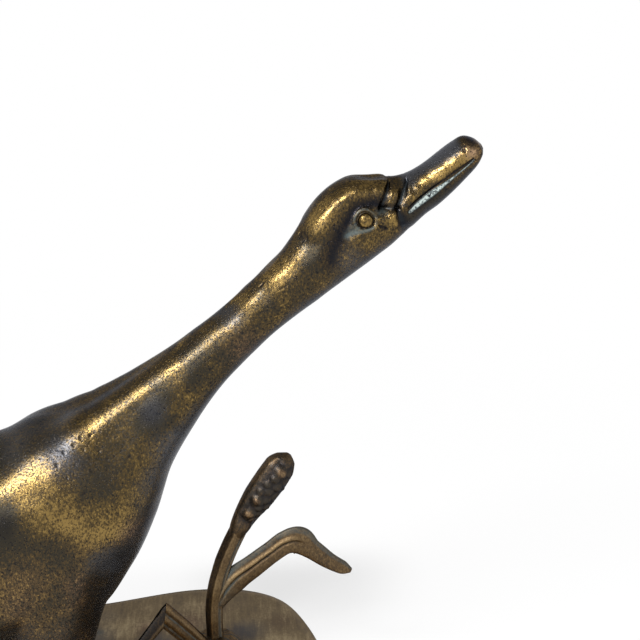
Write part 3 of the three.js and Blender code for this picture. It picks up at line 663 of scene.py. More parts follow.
def neck_head():
    """Neck, head and bill: one skin with the face cut into it."""
    face_start, tip_start = HEAD_START - 0.6, BILL_TIP - 1
    places = np.concatenate([np.linspace(NECK_JOINT, face_start, 80, endpoint=False),
                             np.linspace(face_start, tip_start, 228, endpoint=False),
                             np.linspace(tip_start, BILL_TIP, 22)])
    face = Relief(bird_grid(places, 300))
    fade = ease(NECK_JOINT, NECK_JOINT + 0.5, places)[:, None]
    face.lift = fade * uneven(face.grid, *NECK_NOISE)
    socket(face)
    eye(face)
    face.dig_lines(POINTED_LINES, pointed=True)
    mouth(face)
    face.dig_lines(OTHER_LINES)
    face_marks(face)
    return mesh_piece("neck_head_skin", face.lifted(), BRONZE,
                      ["neck_head_casting"], face.marks, (0,))


# Feathers

TIP_ROUNDNESS = 0.45
# Rows that each feather reaches over
FEATHER_SPAN = 2.4


def feather_rows(along, across, row_length, row_width):
    """Overlapping feathers: 0 at a feather's root, rising to 1 at its round tip."""
    best_row = np.full(along.shape, np.inf)
    offset = np.zeros(along.shape)
    for parity in (0, 1):
        off_middle = off_lane(across / row_width + 0.5 * parity)
        tip = along / row_length + TIP_ROUNDNESS * off_middle**2
        row = 2 * np.ceil((tip - 1 - parity) / 2 + 1e-9) + parity
        nearer = row < best_row
        best_row = np.where(nearer, row, best_row)
        offset = np.where(nearer, off_middle, offset)
    rise = np.clip((along / row_length - best_row + 2) / FEATHER_SPAN, 0, 1)
    return rise, offset


# Sections of the wing, as [x, height, share of the body's breadth, shares of height and thickness]
WING_SECTIONS = [
    [-26, 43.5, 0.86, 0.2, 0.4],
    [-32, 44, 0.88, 0.68, 0.85],
    [-44, 43.5, 0.88, 0.98, 1.0],
    [-64, 40.5, 0.78, 0.94, 1.0],
    [-85, 37, 0.56, 0.68, 0.86],
    [-103, 34, 0.34, 0.38, 0.6],
    [-117, 32.5, 0.2, 0.17, 0.4],
    [-123, 32, 0.15, 0.06, 0.2],
]
WING_HEIGHT = 39
WING_THICKNESS = 11
WING_LEAN = math.radians(20)
COVERT_LENGTH, COVERT_WIDTH, COVERT_RISE = 6.5, 9, 0.75
# Distances behind the shoulder between which the small feathers give way to the long ones
COVERTS_END = (58, 46)
QUILL_GROOVE = 0.7


def wing(side):
    """Folded wing: small feathers at the shoulder and long ones behind."""
    places = even_places(WING_SECTIONS, 230)
    path = spline([[x, side * share * BODY_BREADTH / 2, BIRD_LEVEL + height]
                   for x, height, share, _, _ in WING_SECTIONS], places)
    shares = spline([section[3:] for section in WING_SECTIONS], places)
    upward = np.array([0, -side * math.sin(WING_LEAN), math.cos(WING_LEAN)])
    outward = np.array([0, side * math.cos(WING_LEAN), math.sin(WING_LEAN)])
    grid = ellipse_grid(path, shares[:, :1] * WING_HEIGHT / 2 * upward,
                        shares[:, 1:] * WING_THICKNESS / 2 * outward, 220)
    normals = grid_normals(grid)
    along = np.broadcast_to((path[0, 0] - path[:, 0])[:, None], grid.shape[:2])
    height = (grid - path[:, None]) @ upward
    rise, off_middle = feather_rows(along + 0.25 * np.abs(height), height, COVERT_LENGTH, COVERT_WIDTH)
    coverts = ease(*COVERTS_END, along + 0.5 * height)
    quills = 1 - coverts
    vane = off_lane(height / (1.6 + 3.4 * shares[:, :1]) + 0.02 * along)
    fade = ease(0, 5, along) * ease(0, 0.5, normals @ outward)
    lift = fade * (coverts * COVERT_RISE * (rise - 0.5) - quills * QUILL_GROOVE * vane**4)
    edge = (ease(0.75, 1, off_middle) + ease(0.82, 1, rise)).clip(0, 1)
    hollow = coverts * 0.5 * edge * ease(0.2, 0, rise) + quills * ease(0.8, 1, vane)
    name = SIDE_NAMES[side] + "_wing"
    return body_piece(name + "_feathers", grid + normals * lift[..., None], name, hollow=fade * hollow)


TAIL_LENGTH = 27
TAIL_LIFT = 4.1
TAIL_FEATHERS = 7
TAIL_GROOVE = 0.55
TIP_NOTCH = 1.6
# Sections of the tail, as shares of its length, its lift, and the bird's height and breadth there
TAIL_SECTIONS = [
    [0, 0, 1, 0.5],
    [0.25, 0.07, 0.8, 0.62],
    [0.52, 0.29, 0.54, 0.8],
    [0.8, 0.68, 0.34, 0.92],
    [0.94, 0.9, 0.24, 0.8],
    [1, 1, 0.12, 0.5],
]


def tail():
    """Fan of overlapping tail feathers with rounded ends."""
    centre, to_crest, half_breadth = (value[0] for value in bird_section(np.array([0.0])))
    half = np.linalg.norm(to_crest)
    upward = to_crest / half
    forward = np.array([upward[2], 0, -upward[0]])
    places = even_places(TAIL_SECTIONS, 120)
    back, rise, height, breadth = (spline(shares, places)[:, None] for shares in zip(*TAIL_SECTIONS))
    breadth = breadth * 2 * half_breadth
    path = centre - back * TAIL_LENGTH * forward + rise * TAIL_LIFT * upward
    grid = ellipse_grid(path, height * half * upward, breadth * np.array([0, 1, 0]), 240)
    normals = grid_normals(grid)
    vane = off_lane(grid[..., 1] / breadth * TAIL_FEATHERS / 2 + 0.5)
    fade = ease(3, 9, back * TAIL_LENGTH)
    lift = -TAIL_GROOVE * vane**4 * fade * ease(0.2, 0.7, np.abs(normals @ upward))
    pull = TIP_NOTCH * vane**2 * ease(0.7, 1, back)
    grid = grid + normals * lift[..., None] + forward * pull[..., None]
    return body_piece("tail_feathers", grid, "tail_fan", hollow=fade * ease(0.75, 1, vane))


# Legs

def tube_grid(points, profile, steps, first_axis=(0, 1, 0)):
    """Rings along a smooth line. profile(place) gives each ring's outline, as offsets along
    first_axis and along the axis square to it."""
    places = even_places(points, steps)
    path = spline(points, places)
    tangents = np.gradient(path, axis=0)
    tangents /= np.linalg.norm(tangents, axis=1, keepdims=True)
    u = np.asarray(first_axis, float)
    rings = []
    for place, middle, tangent in zip(places, path, tangents):
        u = u - (u @ tangent) * tangent
        u = u / np.linalg.norm(u)
        outline = profile(place)
        rings.append(middle + outline[:, :1] * u + outline[:, 1:] * np.cross(tangent, u))
    return np.array(rings)


SHANK_DIAMETER = 9
THIGH_DIAMETER = 21
SCUTE_SPACING = 1.9
SCUTE_DEPTH = 0.22
LEG_NOISE = (0.15, 7, 5)


def leg(side):
    """Shank with its scutes, and the thigh's core inside the hip."""
    x, y = LEG_PLACES[side]
    belly = belly_level(x, y)
    knee = FOOT_LEVEL + (belly - FOOT_LEVEL) * 0.55
    shank = FOOT_LEVEL + (knee - FOOT_LEVEL) * 0.6
    sections = np.array([
        [x, y, FOOT_LEVEL + SHANK_DIAMETER * 0.2, 0.98 * SHANK_DIAMETER],
        [x, y, shank, 0.98 * SHANK_DIAMETER],
        [x, y, knee, 1.25 * SHANK_DIAMETER],
        [x + 0.7 * HIP_LEAN, y * 0.95, belly, 0.6 * THIGH_DIAMETER],
        [x + HIP_LEAN, y * 0.85, belly + THIGH_DIAMETER / 3, 0.5 * THIGH_DIAMETER],
    ])
    grid = tube_grid(sections[:, :3],
                     lambda place: circle(spline(sections[:, 3], [place])[0] / 2, 128), 130)
    level = grid[..., 2]
    scute = (level - FOOT_LEVEL) / SCUTE_SPACING + 0.25 * np.sin(grid[..., 1] * 2)
    scales = ease(0.55, 1, off_lane(scute)) * ease(knee - 1, knee - 4, level)
    grid = raised(grid, uneven(grid, LEG_NOISE) - SCUTE_DEPTH * scales)
    name = SIDE_NAMES[side] + "_leg"
    return body_piece(name + "_form", grid, name, hollow=0.5 * scales)


TOE_LENGTH = 29
TOE_SPREAD = math.radians(27)
FOOT_TURN = math.radians(8)
TOE_DIAMETER = 3.6
KNUCKLE_SPACING = 8.5
WEB_THICKNESS = 1.8
SPUR_LENGTH = 8.5


def foot_reach(angle):
    """Distance from the ankle to the foot's edge in each direction; 0 points along the middle toe."""
    ankle = SHANK_DIAMETER * 0.58
    half_toe = TOE_DIAMETER * 0.55
    within = np.clip(angle / TOE_SPREAD, -1, 1)
    toe = TOE_LENGTH * (1 - 0.12 * within**2)
    between = np.abs(within) - np.floor(np.abs(within))
    web = toe * (1 - 0.17 * np.sin(math.pi * between) ** 0.8)
    outside = np.clip(np.abs(angle) - TOE_SPREAD, 1e-3, math.pi / 2)
    flank = np.where(np.abs(angle) > TOE_SPREAD, np.minimum(toe, half_toe / np.sin(outside)), web)
    behind = np.clip(math.pi - np.abs(angle), 1e-3, math.pi / 2)
    spur = np.minimum(SPUR_LENGTH, half_toe / np.sin(behind))
    return np.maximum(np.maximum(flank, spur), ankle)


def foot_height(angle, radius, share):
    """Height of the foot's top at a share of the way from the ankle to its edge."""
    web = WEB_THICKNESS * 0.75
    height = np.full_like(radius, web)
    for toe in (-TOE_SPREAD, 0, TOE_SPREAD, math.pi):
        off = np.abs(np.sin(angle - toe)) * radius
        knuckle = 1 + 0.18 * np.cos(radius * 2 * math.pi / KNUCKLE_SPACING)
        ridge = TOE_DIAMETER * 0.62 * (1 - 0.45 * share) * knuckle * hill(off, TOE_DIAMETER * 0.75)
        height = np.maximum(height, web + ridge * (np.cos(angle - toe) > 0))
    height += SHANK_DIAMETER * 0.5 * hill(radius, SHANK_DIAMETER * 0.95)
    return height * (1 - 0.55 * ease(0.9, 1, share))


def foot(side):
    """Webbed foot: three toes, the web between them and a short spur behind."""
    x, y = LEG_PLACES[side]
    angle = (turns(420) + math.pi) % (2 * math.pi) - math.pi
    reach = foot_reach(angle)
    rings = [[share * reach, foot_height(angle, share * reach, share)]
             for share in np.linspace(0.02, 1, 70)]
    for share, level in ((1, 0.35), (0.985, 0), (0.4, 0)):
        rings.append([share * reach, np.full_like(reach, level)])
    radius, height = np.array(rings).transpose(1, 0, 2)
    turn = angle + side * FOOT_TURN
    grid = np.stack([x + radius * np.cos(turn), y + radius * np.sin(turn), FOOT_LEVEL + height], axis=-1)
    grid[..., 2] += 0.08 * np.sin(grid[..., 0] * 5) * (height > 0.5)
    low = ease(2.6, 1.4, height)
    name = SIDE_NAMES[side]
    return body_piece(name + "_foot", grid, name + "_leg", hollow=0.45 * low, verdigris=0.3 * low)


# Base

BASE_LENGTH = 133
BASE_DEPTH = 89
BASE_EDGE_RADIUS = 4.5
BASE_FOOT_WIDTH = 1.2
BASE_FOOT_HEIGHT = 3
FELT_MARGIN = 6
BASE_NOISE = (0.28, 17, 6), (0.12, 6, 7)
BACK_OUTLINE = [
    [1, 0], [0.955, 0.43], [0.84, 0.8], [0.66, 0.965], [0.4, 1], [-0.04, 0.86], [-0.5, 0.73],
    [-0.85, 0.46],
]
FRONT_OUTLINE = [
    [-1, 0], [-0.87, -0.44], [-0.5, -0.75], [-0.02, -0.9], [0.4, -0.97], [0.7, -0.88], [0.91, -0.57],
]
# Patches on the base's top for each mark, as [x, y, reach, change]. The light patch along the back edge
# near x 28, y 32 is a painted highlight on the rounded rim, and the dark ones near x -20 to 0, y 5,
# under the belly, are partly patina and partly painted shade
BASE_PATCHES = {
    "rubbed": [
        [22, 22, 7, 1.4], [6, 21, 7, 1], [28, 32, 5, 1.4], [12, 14, 6, -1.6], [41, 14, 6, -2],
        [50, 12, 4, 0.6], [57, 5, 8, 2], [33, 25, 6, 0.8], [46, 23, 5, 0.6], [40, 2, 9, -1],
        [0, 6, 9, -2.4], [20, 4, 8, -1.2], [-20, 5, 16, -0.8]],
    "verdigris": [[-2, 5, 6, 0.45], [-10, 10, 7, 0.3], [28, -12, 8, 0.25], [-4, 19, 3, 0.3]],
    "red": [[24, 22, 6, 0.9], [12, 20, 5, 0.9], [36, 8, 5, 0.4], [54, 20, 5, 0.5], [33, 30, 5, 0.5]],
    "blue": [[-4, 17, 6, 0.9], [44, 16, 6, 0.8], [16, 13, 5, 0.6], [-2, 28, 5, 0.4]],
}
FASTENER_PLACES = [node_middle(name) for name in ("left_leg_washer", "right_leg_washer", "clump_washer")]
WASHER_LOW, WASHER_HIGH = node_box("clump_washer")
COUNTERBORE_DIAMETER = WASHER_HIGH[0] - WASHER_LOW[0] + 2
COUNTERBORE_TOP = WASHER_HIGH[2] + FIT_GAP
BORE_DIAMETER = 4 + 2 * FIT_GAP
BORE_TOP = BASE_TOP + 5
RECESS_TOP = node_box("base_felt")[1][2] + FIT_GAP


def base_ring(inset, level, sides=300):
    outline = np.array(BACK_OUTLINE + FRONT_OUTLINE) * [BASE_LENGTH / 2 - inset, BASE_DEPTH / 2 - inset]
    ring = spline(outline, np.arange(sides) * len(outline) / sides, closed=True)
    return np.column_stack([ring, np.full(sides, level)])


def base():
    """Pebble with a softly uneven top, a recess for the felt and bores for the fasteners."""
    under = [(FELT_MARGIN - FIT_GAP, RECESS_TOP), (FELT_MARGIN - FIT_GAP, BASE_UNDER),
             (BASE_FOOT_WIDTH, BASE_UNDER),
             (0.25 * BASE_FOOT_WIDTH, BASE_UNDER + 0.4 * BASE_FOOT_HEIGHT),
             (0, BASE_UNDER + BASE_FOOT_HEIGHT)]
    radius = BASE_EDGE_RADIUS
    rounding = [(radius * (1 - math.cos(angle)), BASE_TOP - radius * (1 - math.sin(angle)))
                for angle in np.linspace(0, math.pi / 2, 14)]
    inward = [(inset, BASE_TOP) for inset in np.linspace(BASE_EDGE_RADIUS, BASE_DEPTH / 2 - 4, 50)[1:]]
    grid = np.array([base_ring(inset, level) for inset, level in under + rounding + inward])
    top = grid[len(under) + 8:]
    top[..., 2] += np.minimum(uneven(top, *BASE_NOISE) - 0.4, 0)
    marks = {name: patch_sum(grid[..., :2], patches) for name, patches in BASE_PATCHES.items()}
    piece = mesh_piece("base_pebble", grid, BASE_BRONZE, ["base_casting"],
                       plain_marks(grid, **marks))
    for centre in FASTENER_PLACES:
        bore_out(piece, centre, COUNTERBORE_DIAMETER, COUNTERBORE_TOP)
        bore_out(piece, centre, BORE_DIAMETER, BORE_TOP)
    return piece


def bore_out(piece, centre, diameter, top_level):
    """Cut an upright hole from below, up to top_level."""
    bottom, sides = -5, 48
    ring = circle(diameter / 2, sides) + centre[:2]
    points = np.vstack([np.column_stack([ring, np.full(sides, level)]) for level in (bottom, top_level)])
    faces = [[i, (i + 1) % sides, sides + (i + 1) % sides, sides + i] for i in range(sides)]
    faces += [list(range(sides))[::-1], list(range(sides, 2 * sides))]
    cutter = new_mesh("bore_cutter", points, faces)
    cut = piece.modifiers.new("bore", "BOOLEAN")
    cut.operation = "DIFFERENCE"
    cut.solver = "EXACT"
    cut.object = cutter
    bpy.context.view_layer.objects.active = piece
    bpy.ops.object.modifier_apply(modifier=cut.name)
    bpy.data.objects.remove(cutter)


# Plants

PLANT_X, PLANT_Y = node_middle("clump_screw")[:2]
STEM_DIAMETER = 5.2
SPIKE_DIAMETER = 9.6
REED_WIDTH = 7.8
LEAF_WIDTH = 8.6
REED_THICKNESS, FOLDED_THICKNESS = 3.2, 2.4
CLUMP_LOW, CLUMP_HIGH = node_box("root_clump")
STEM_NOISE = (0.12, 5, 8)
SEED_NOISE = (0.14, 1.7, 9), (0.06, 0.8, 10)
BLADE_NOISE = (0.09, 4.5, 11)
CLUMP_NOISE = (0.15, 3, 12)

# Points are [x from the clump's middle, height above the base top], and for the blades also
# the distance behind the middle and a share of the blade's width
STEM_LINE = [[0.2, 3], [-0.1, 10], [0, 20], [1.3, 28], [3.4, 34.8], [6.1, 41.3], [8.8, 47]]
SPIKE_LINE = [
    [6.6, 42.4], [8, 45.5], [10.4, 50], [14, 55.4], [17.4, 60.4], [20.1, 64.6], [21.9, 67.2],
    [22.8, 68.7],
]
SPIKE_SHARES = [0.42, 0.6, 0.76, 0.96, 1, 0.96, 0.66, 0.2]
REED_LINE = [
    [0.9, 18.8, 0, 0.4], [3.1, 23.6, 0, 0.85], [6.5, 28, 0, 1.05], [11.6, 32.1, 0, 0.96],
    [17.4, 36.6, 0, 0.9], [21.8, 39.7, 0, 0.98], [25.4, 40.2, 0, 1.16], [29.6, 37, 0, 0.82],
    [34.6, 33, 0, 0.66], [38.9, 30.3, 0, 0.54], [41.4, 29.2, 0, 0.2],
]
LEAF_RISE = [
    [-1.5, 3, -1, 0.5], [-4.6, 6.9, -2.2, 0.66], [-8, 11.2, -3.2, 0.76], [-11.3, 15.3, -4, 0.8],
    [-14.8, 19.3, -4.6, 0.82], [-17, 21.8, -5, 0.82],
]
LEAF_FALL = [
    [-12.6, 21.9, -4.4, 0.54], [-14.8, 19.3, -4.6, 0.54], [-17.6, 15.9, -5.2, 0.48],
    [-20.2, 12.8, -5.8, 0.44], [-22.6, 10, -6.3, 0.4], [-25, 7.2, -6.8, 0.3], [-26.2, 5.8, -7, 0.14],
]
LEAF_FOLD, LEAF_PEAK = LEAF_RISE[4], [-14.2, 23.7, -4.6]
# Stem's section in shares of its radius, [to the right, to the front]: a ridge left of the
# middle, a flat face, and a groove by the right edge
STEM_GROOVE = 0.62
STEM_OUTLINE = [
    [-1, -0.2], [-0.72, 0.4], [-0.3, 0.93], [0.12, 0.86], [0.45, 0.72], [STEM_GROOVE, 0.5], [0.86, 0.5],
    [1, 0], [0.75, -0.7], [0, -1], [-0.7, -0.75],
]
# Lumps of the seed head, as [share of its length, degrees from the front to the right, reach, height]
SEED_LUMPS = [
    [0.32, -6, 2.2, 0.85], [0.36, 36, 1.9, 0.45], [0.28, 24, 1.5, 0.35], [0.42, 12, 1.5, 0.4],
    [0.48, -12, 2.1, 0.85], [0.46, 44, 1.8, 0.5], [0.53, 18, 1.7, 0.4], [0.58, -20, 1.6, 0.4],
    [0.6, 42, 2, 0.5], [0.62, 6, 1.6, 0.45], [0.68, -14, 1.5, 0.4], [0.7, 24, 1.8, 0.5],
    [0.76, -2, 1.6, 0.45], [0.77, 46, 1.8, 0.45], [0.85, 4, 2.3, 0.8], [0.87, 38, 1.6, 0.45],
    [0.94, 14, 1.4, 0.4], [0.38, 68, 1.6, 0.4], [0.52, 66, 1.7, 0.45], [0.68, 70, 1.7, 0.45],
    [0.82, 66, 1.6, 0.4],
]


def plant_points(line):
    return [[PLANT_X + point[0], PLANT_Y + (point[2] if len(point) > 2 else 0), BASE_TOP + point[1]]
            for point in line]


def stem():
    """Ridged stem of the cattail."""
    sides = 96
    outline = spline(STEM_OUTLINE, np.arange(sides) * len(STEM_OUTLINE) / sides, closed=True)
    across, front = outline.T
    shape = np.column_stack([across, -front]) * STEM_DIAMETER / 2
    grid = tube_grid(plant_points(STEM_LINE), lambda place: shape, 150, (1, 0, 0))
    grid = raised(grid, uneven(grid, STEM_NOISE))
    green = hill(across - STEM_GROOVE, 0.5) * (front > 0.2)
    left = ease(-0.3, -0.7, across)
    return plant_piece("cattail_stem", grid, "cattail",
                       verdigris=0.3 * green, rubbed=0.6 - 1.2 * left - 0.6 * green)


def spike():
    """Seed head: smooth rims, and uneven lumps of seeds on the faces between them."""
    steps, sides = 230, 230
    line = plant_points(SPIKE_LINE)
    places = even_places(line, steps)
    radii = spline(SPIKE_SHARES, places) * SPIKE_DIAMETER / 2
    grid = tube_grid(line, lambda place: circle(np.interp(place, places, radii), sides),
                     steps, (1, 0, 0))
    middle = grid.mean(axis=1)
    run = np.append(0, np.cumsum(np.linalg.norm(np.diff(middle, axis=0), axis=1)))[:, None]
    outward = grid - middle[:, None]
    turn = np.degrees(np.arctan2(outward[..., 0], np.abs(outward[..., 1])))
    lumps = np.zeros(grid.shape[:2])
    for share, lump_turn, reach, height in SEED_LUMPS:
        across = np.radians(turn - lump_turn) * radii[:, None]
        lumps = np.maximum(lumps, height * hill(np.hypot(across, run - share * run.max()), 1.25 * reach))
    inside = ease(-62, -20, turn) * ease(88, 76, turn)
    inside = inside * ease(4.5, 8, run) * ease(run.max() - 0.6, run.max() - 2.6, run)
    grid = raised(grid, inside * (lumps + uneven(grid, *SEED_NOISE) - 0.55))
    rubbed = inside * (1.6 * ease(0.8, 1.4, lumps / 0.5) - 0.6) - 0.6
    between = inside * ease(0.6, 0.1, lumps / 0.55)
    return plant_piece("cattail_spike", grid, "cattail",
                       hollow=0.6 * between, rubbed=rubbed, red=0.4 * inside)


def up_to_plane(grid, point, normal):
    """Grid whose columns end where they meet a plane; its first row is behind the plane."""
    beyond = (grid - point) @ normal
    rows = np.arange(len(grid))
    columns = []
    for column, distance in zip(grid.transpose(1, 0, 2), beyond.T):
        after = int(np.argmax(distance > 0))
        end = after - distance[after] / (distance[after] - distance[after - 1])
        places = np.linspace(0, end, len(grid))
        columns.append(np.column_stack([np.interp(places, rows, column[:, axis]) for axis in range(3)]))
    return np.array(columns).transpose(1, 0, 2)


def folded(grid, beyond):
    """Limb of the leaf, cut at the mitre of its fold: the one up to it, or the one beyond it."""
    fold, peak = np.array(plant_points([LEAF_FOLD, LEAF_PEAK]))
    mitre = peak - fold
    across = np.array([-mitre[2], 0, mitre[0]]) / math.hypot(mitre[0], mitre[2])
    return up_to_plane(grid[::-1], fold, -across)[::-1] if beyond else up_to_plane(grid, fold, across)


def blade(name, node, line, width, relief, thickness=REED_THICKNESS, cut=lambda grid: grid):
    """Bent blade: relief(across, along) gives its faces' height and marks, from -1 to 1 across."""
    steps, half_sides = 220, 70
    places = even_places(line, steps)
    path = spline(plant_points(line), places)
    widths = spline([point[3] for point in line], places) * width / 2
    tangent = np.gradient(path, axis=0)
    upward = np.stack([-tangent[:, 2], np.zeros(steps), tangent[:, 0]], axis=-1)
    upward /= np.linalg.norm(upward, axis=1, keepdims=True)
    across = np.cos(np.linspace(0, math.pi, half_sides))
    around = np.concatenate([across, across[-2:0:-1]])
    to_front = np.concatenate([np.ones(half_sides), -np.ones(half_sides - 2)])
    round_edge = np.sqrt(np.clip(1 - around**2, 0, 1))
    height, hollow, rubbed, green = relief(around[None], (places / places[-1])[:, None])
    grid = path[:, None] + (widths[:, None] * around)[..., None] * upward[:, None]
    grid[..., 1] -= to_front * np.minimum(thickness / 2, widths)[:, None] * round_edge**0.7 * height
    grid = cut(grid)
    grid = raised(grid, uneven(grid, BLADE_NOISE))
    return plant_piece(name, grid, node, hollow=hollow, rubbed=rubbed, verdigris=green)


def reed_relief(across, along):
    """Slanted grey-green upper face, a golden midrib with a groove under it, and a broad lower face."""
    fading = ease(0.66, 0.56, along)
    rib = hill(across - 0.3, 0.3) * fading
    groove = hill(across - 0.02, 0.2) * fading
    upper = ease(0.4, 0.75, across)
    root = ease(0.32, 0.12, along)
    green = 0.26 * upper + 0.2 * groove + 0.2 * root
    return 0.82 + 0.3 * rib - 0.22 * groove, 0.25 * groove, rib - 0.5 * upper, green


def rise_relief(across, along):
    """Two ribs along the leaf, with green grooves beside them."""
    wave = np.cos((across - 0.12) * 2.4 * math.pi)
    groove = ease(-0.3, -1, wave)
    return 0.9 + 0.12 * wave, 0.3 * groove, 0.8 * ease(0.2, 1, wave), 0.3 * groove


def fall_relief(across, along):
    """Smooth dark outer half of the folded limb, and a lighter inner half."""
    inner = ease(0.1, 0.5, across)
    outer = 1 - inner
    return 0.9 + 0.1 * inner, 0.45 * outer, 0.6 * inner - 1.4 * outer, 0.2 * inner


SHEATHS = 9
SHEATH_TWIST = 1.2
CLUMP_DEPTH_SHARE = 0.85


def root_clump():
    """Tuft of sheaths at the foot of the plants."""
    sides, steps = 200, 60
    angle = turns(sides)
    height = CLUMP_HIGH[2] - CLUMP_LOW[2]
    middle = np.array([PLANT_X, PLANT_Y])
    rings = []
    for share in np.linspace(0, 1, steps):
        sheath = np.abs(np.sin(SHEATHS / 2 * angle + SHEATH_TWIST * share)) ** 0.7
        radius = (CLUMP_HIGH[0] - CLUMP_LOW[0]) / 2 * math.sqrt(1 - 0.72 * share * share)
        outline = circle(radius, sides) * (0.86 + 0.14 * sheath)[:, None] * [1, CLUMP_DEPTH_SHARE]
        rings.append(np.column_stack([middle + outline, np.full(sides, CLUMP_LOW[2] + share * height)]))
    for share in np.linspace(0.9, 0.1, 8):
        ring = rings[steps - 1].copy()
        ring[:, :2] = middle + (ring[:, :2] - middle) * share
        rings.append(ring)
    grid = np.array(rings)
    flank = grid[:steps]
    flank += grid_normals(grid)[:steps] * uneven(flank, CLUMP_NOISE)[..., None]
    hollow = ease(0.5, 0.1, np.abs(np.sin(SHEATHS / 2 * angle)) ** 0.7)
    return plant_piece("root_sheaths", grid, "root_clump", hollow=hollow, verdigris=0.3 * hollow)


# Materials

# Colour sockets of a Mix node: the two mixed and the result
FIRST_COLOUR, SECOND_COLOUR, MIXED_COLOUR = 6, 7, 2


def is_socket(value):
    return isinstance(value, bpy.types.NodeSocket)


def feed(node, inputs):
    """Give each input of a node its value, or the socket that it is linked from."""
    for key, value in inputs.items():
        socket = node.inputs[key]
        if is_socket(value):
            node.id_data.links.new(value, socket)
        elif socket.type == "RGBA":
            socket.default_value = (*value, 1)
        else:
            socket.default_value = value


def add(kind, inputs, tree=None, **settings):
    """New node in a tree, or else in the tree that its inputs come from."""
    tree = tree or next(filter(is_socket, inputs.values())).node.id_data
    node = tree.nodes.new("ShaderNode" + kind)
    for key, value in settings.items():
        setattr(node, key, value)
    feed(node, inputs)
    return node


def new_material(name, finish, **settings):
    """Material whose shader has the inputs that finish(place, **settings) gives."""
    material = bpy.data.materials.new(name)
    material.use_nodes = True
    tree = material.node_tree
    place = add("TexCoord", {}, tree).outputs["Object"]
    feed(tree.nodes["Principled BSDF"], finish(place, **settings))
    return material


def noise(place, size, detail=3, roughness=0.55):
    """Noise with hills about size millimetres apart."""
    inputs = {"Vector": place, "Scale": 1 / (size * MM), "Detail": detail, "Roughness": roughness}
    return add("TexNoise", inputs).outputs["Fac"]


def blend(amount, first, second):
    colours = {"Factor": amount, FIRST_COLOUR: first, SECOND_COLOUR: second}
    return add("Mix", colours, data_type="RGBA").outputs[MIXED_COLOUR]


def maths(operation, *values, clamp=False):
    inputs = dict(enumerate(values))
    return add("Math", inputs, operation=operation, use_clamp=clamp).outputs[0]


def ramp(value, low, high, to_low=0.0, to_high=1.0):
    inputs = {"Value": value, "From Min": low, "From Max": high, "To Min": to_low, "To Max": to_high}
    return add("MapRange", inputs, interpolation_type="SMOOTHSTEP").outputs["Result"]


def distance_from_middle(place):
    return add("VectorMath", {0: place}, operation="LENGTH").outputs["Value"]


def mapped(place, **inputs):
    """A place after a Mapping node with these inputs."""
    return add("Mapping", {"Vector": place} | inputs).outputs["Vector"]


def bump(height, strength, distance):
    """Normals of a finely uneven surface, with its height in millimetres."""
    inputs = {"Height": height, "Strength": strength, "Distance": distance * MM}
    return add("Bump", inputs).outputs["Normal"]


def weighted(*terms):
    """Sum of sockets, each times its weight."""
    total = None
    for socket, weight in terms:
        part = maths("MULTIPLY", socket, weight)
        total = part if total is None else maths("ADD", total, part)
    return total


# Colours are linear red, green and blue
RED_BROWN = (0.115, 0.07, 0.05)
ROSY_GOLD = (0.36, 0.23, 0.15)
BLUE_BLACK = (0.066, 0.068, 0.077)
DEEP = (0.011, 0.012, 0.017)
GREY_GREEN = (0.075, 0.1, 0.1)
PALE_GREEN = (0.52, 0.6, 0.57)
COOL_EDGE = (0.43, 0.45, 0.49)
# Black, brown and gold of each patina
BODY_TONES = (0.044, 0.038, 0.028), (0.098, 0.067, 0.029), (0.28, 0.185, 0.062)
PLANT_TONES = (0.047, 0.04, 0.032), (0.12, 0.079, 0.042), (0.21, 0.145, 0.073)
BASE_TONES = (0.12, 0.096, 0.073), (0.22, 0.166, 0.1), (0.42, 0.33, 0.2)


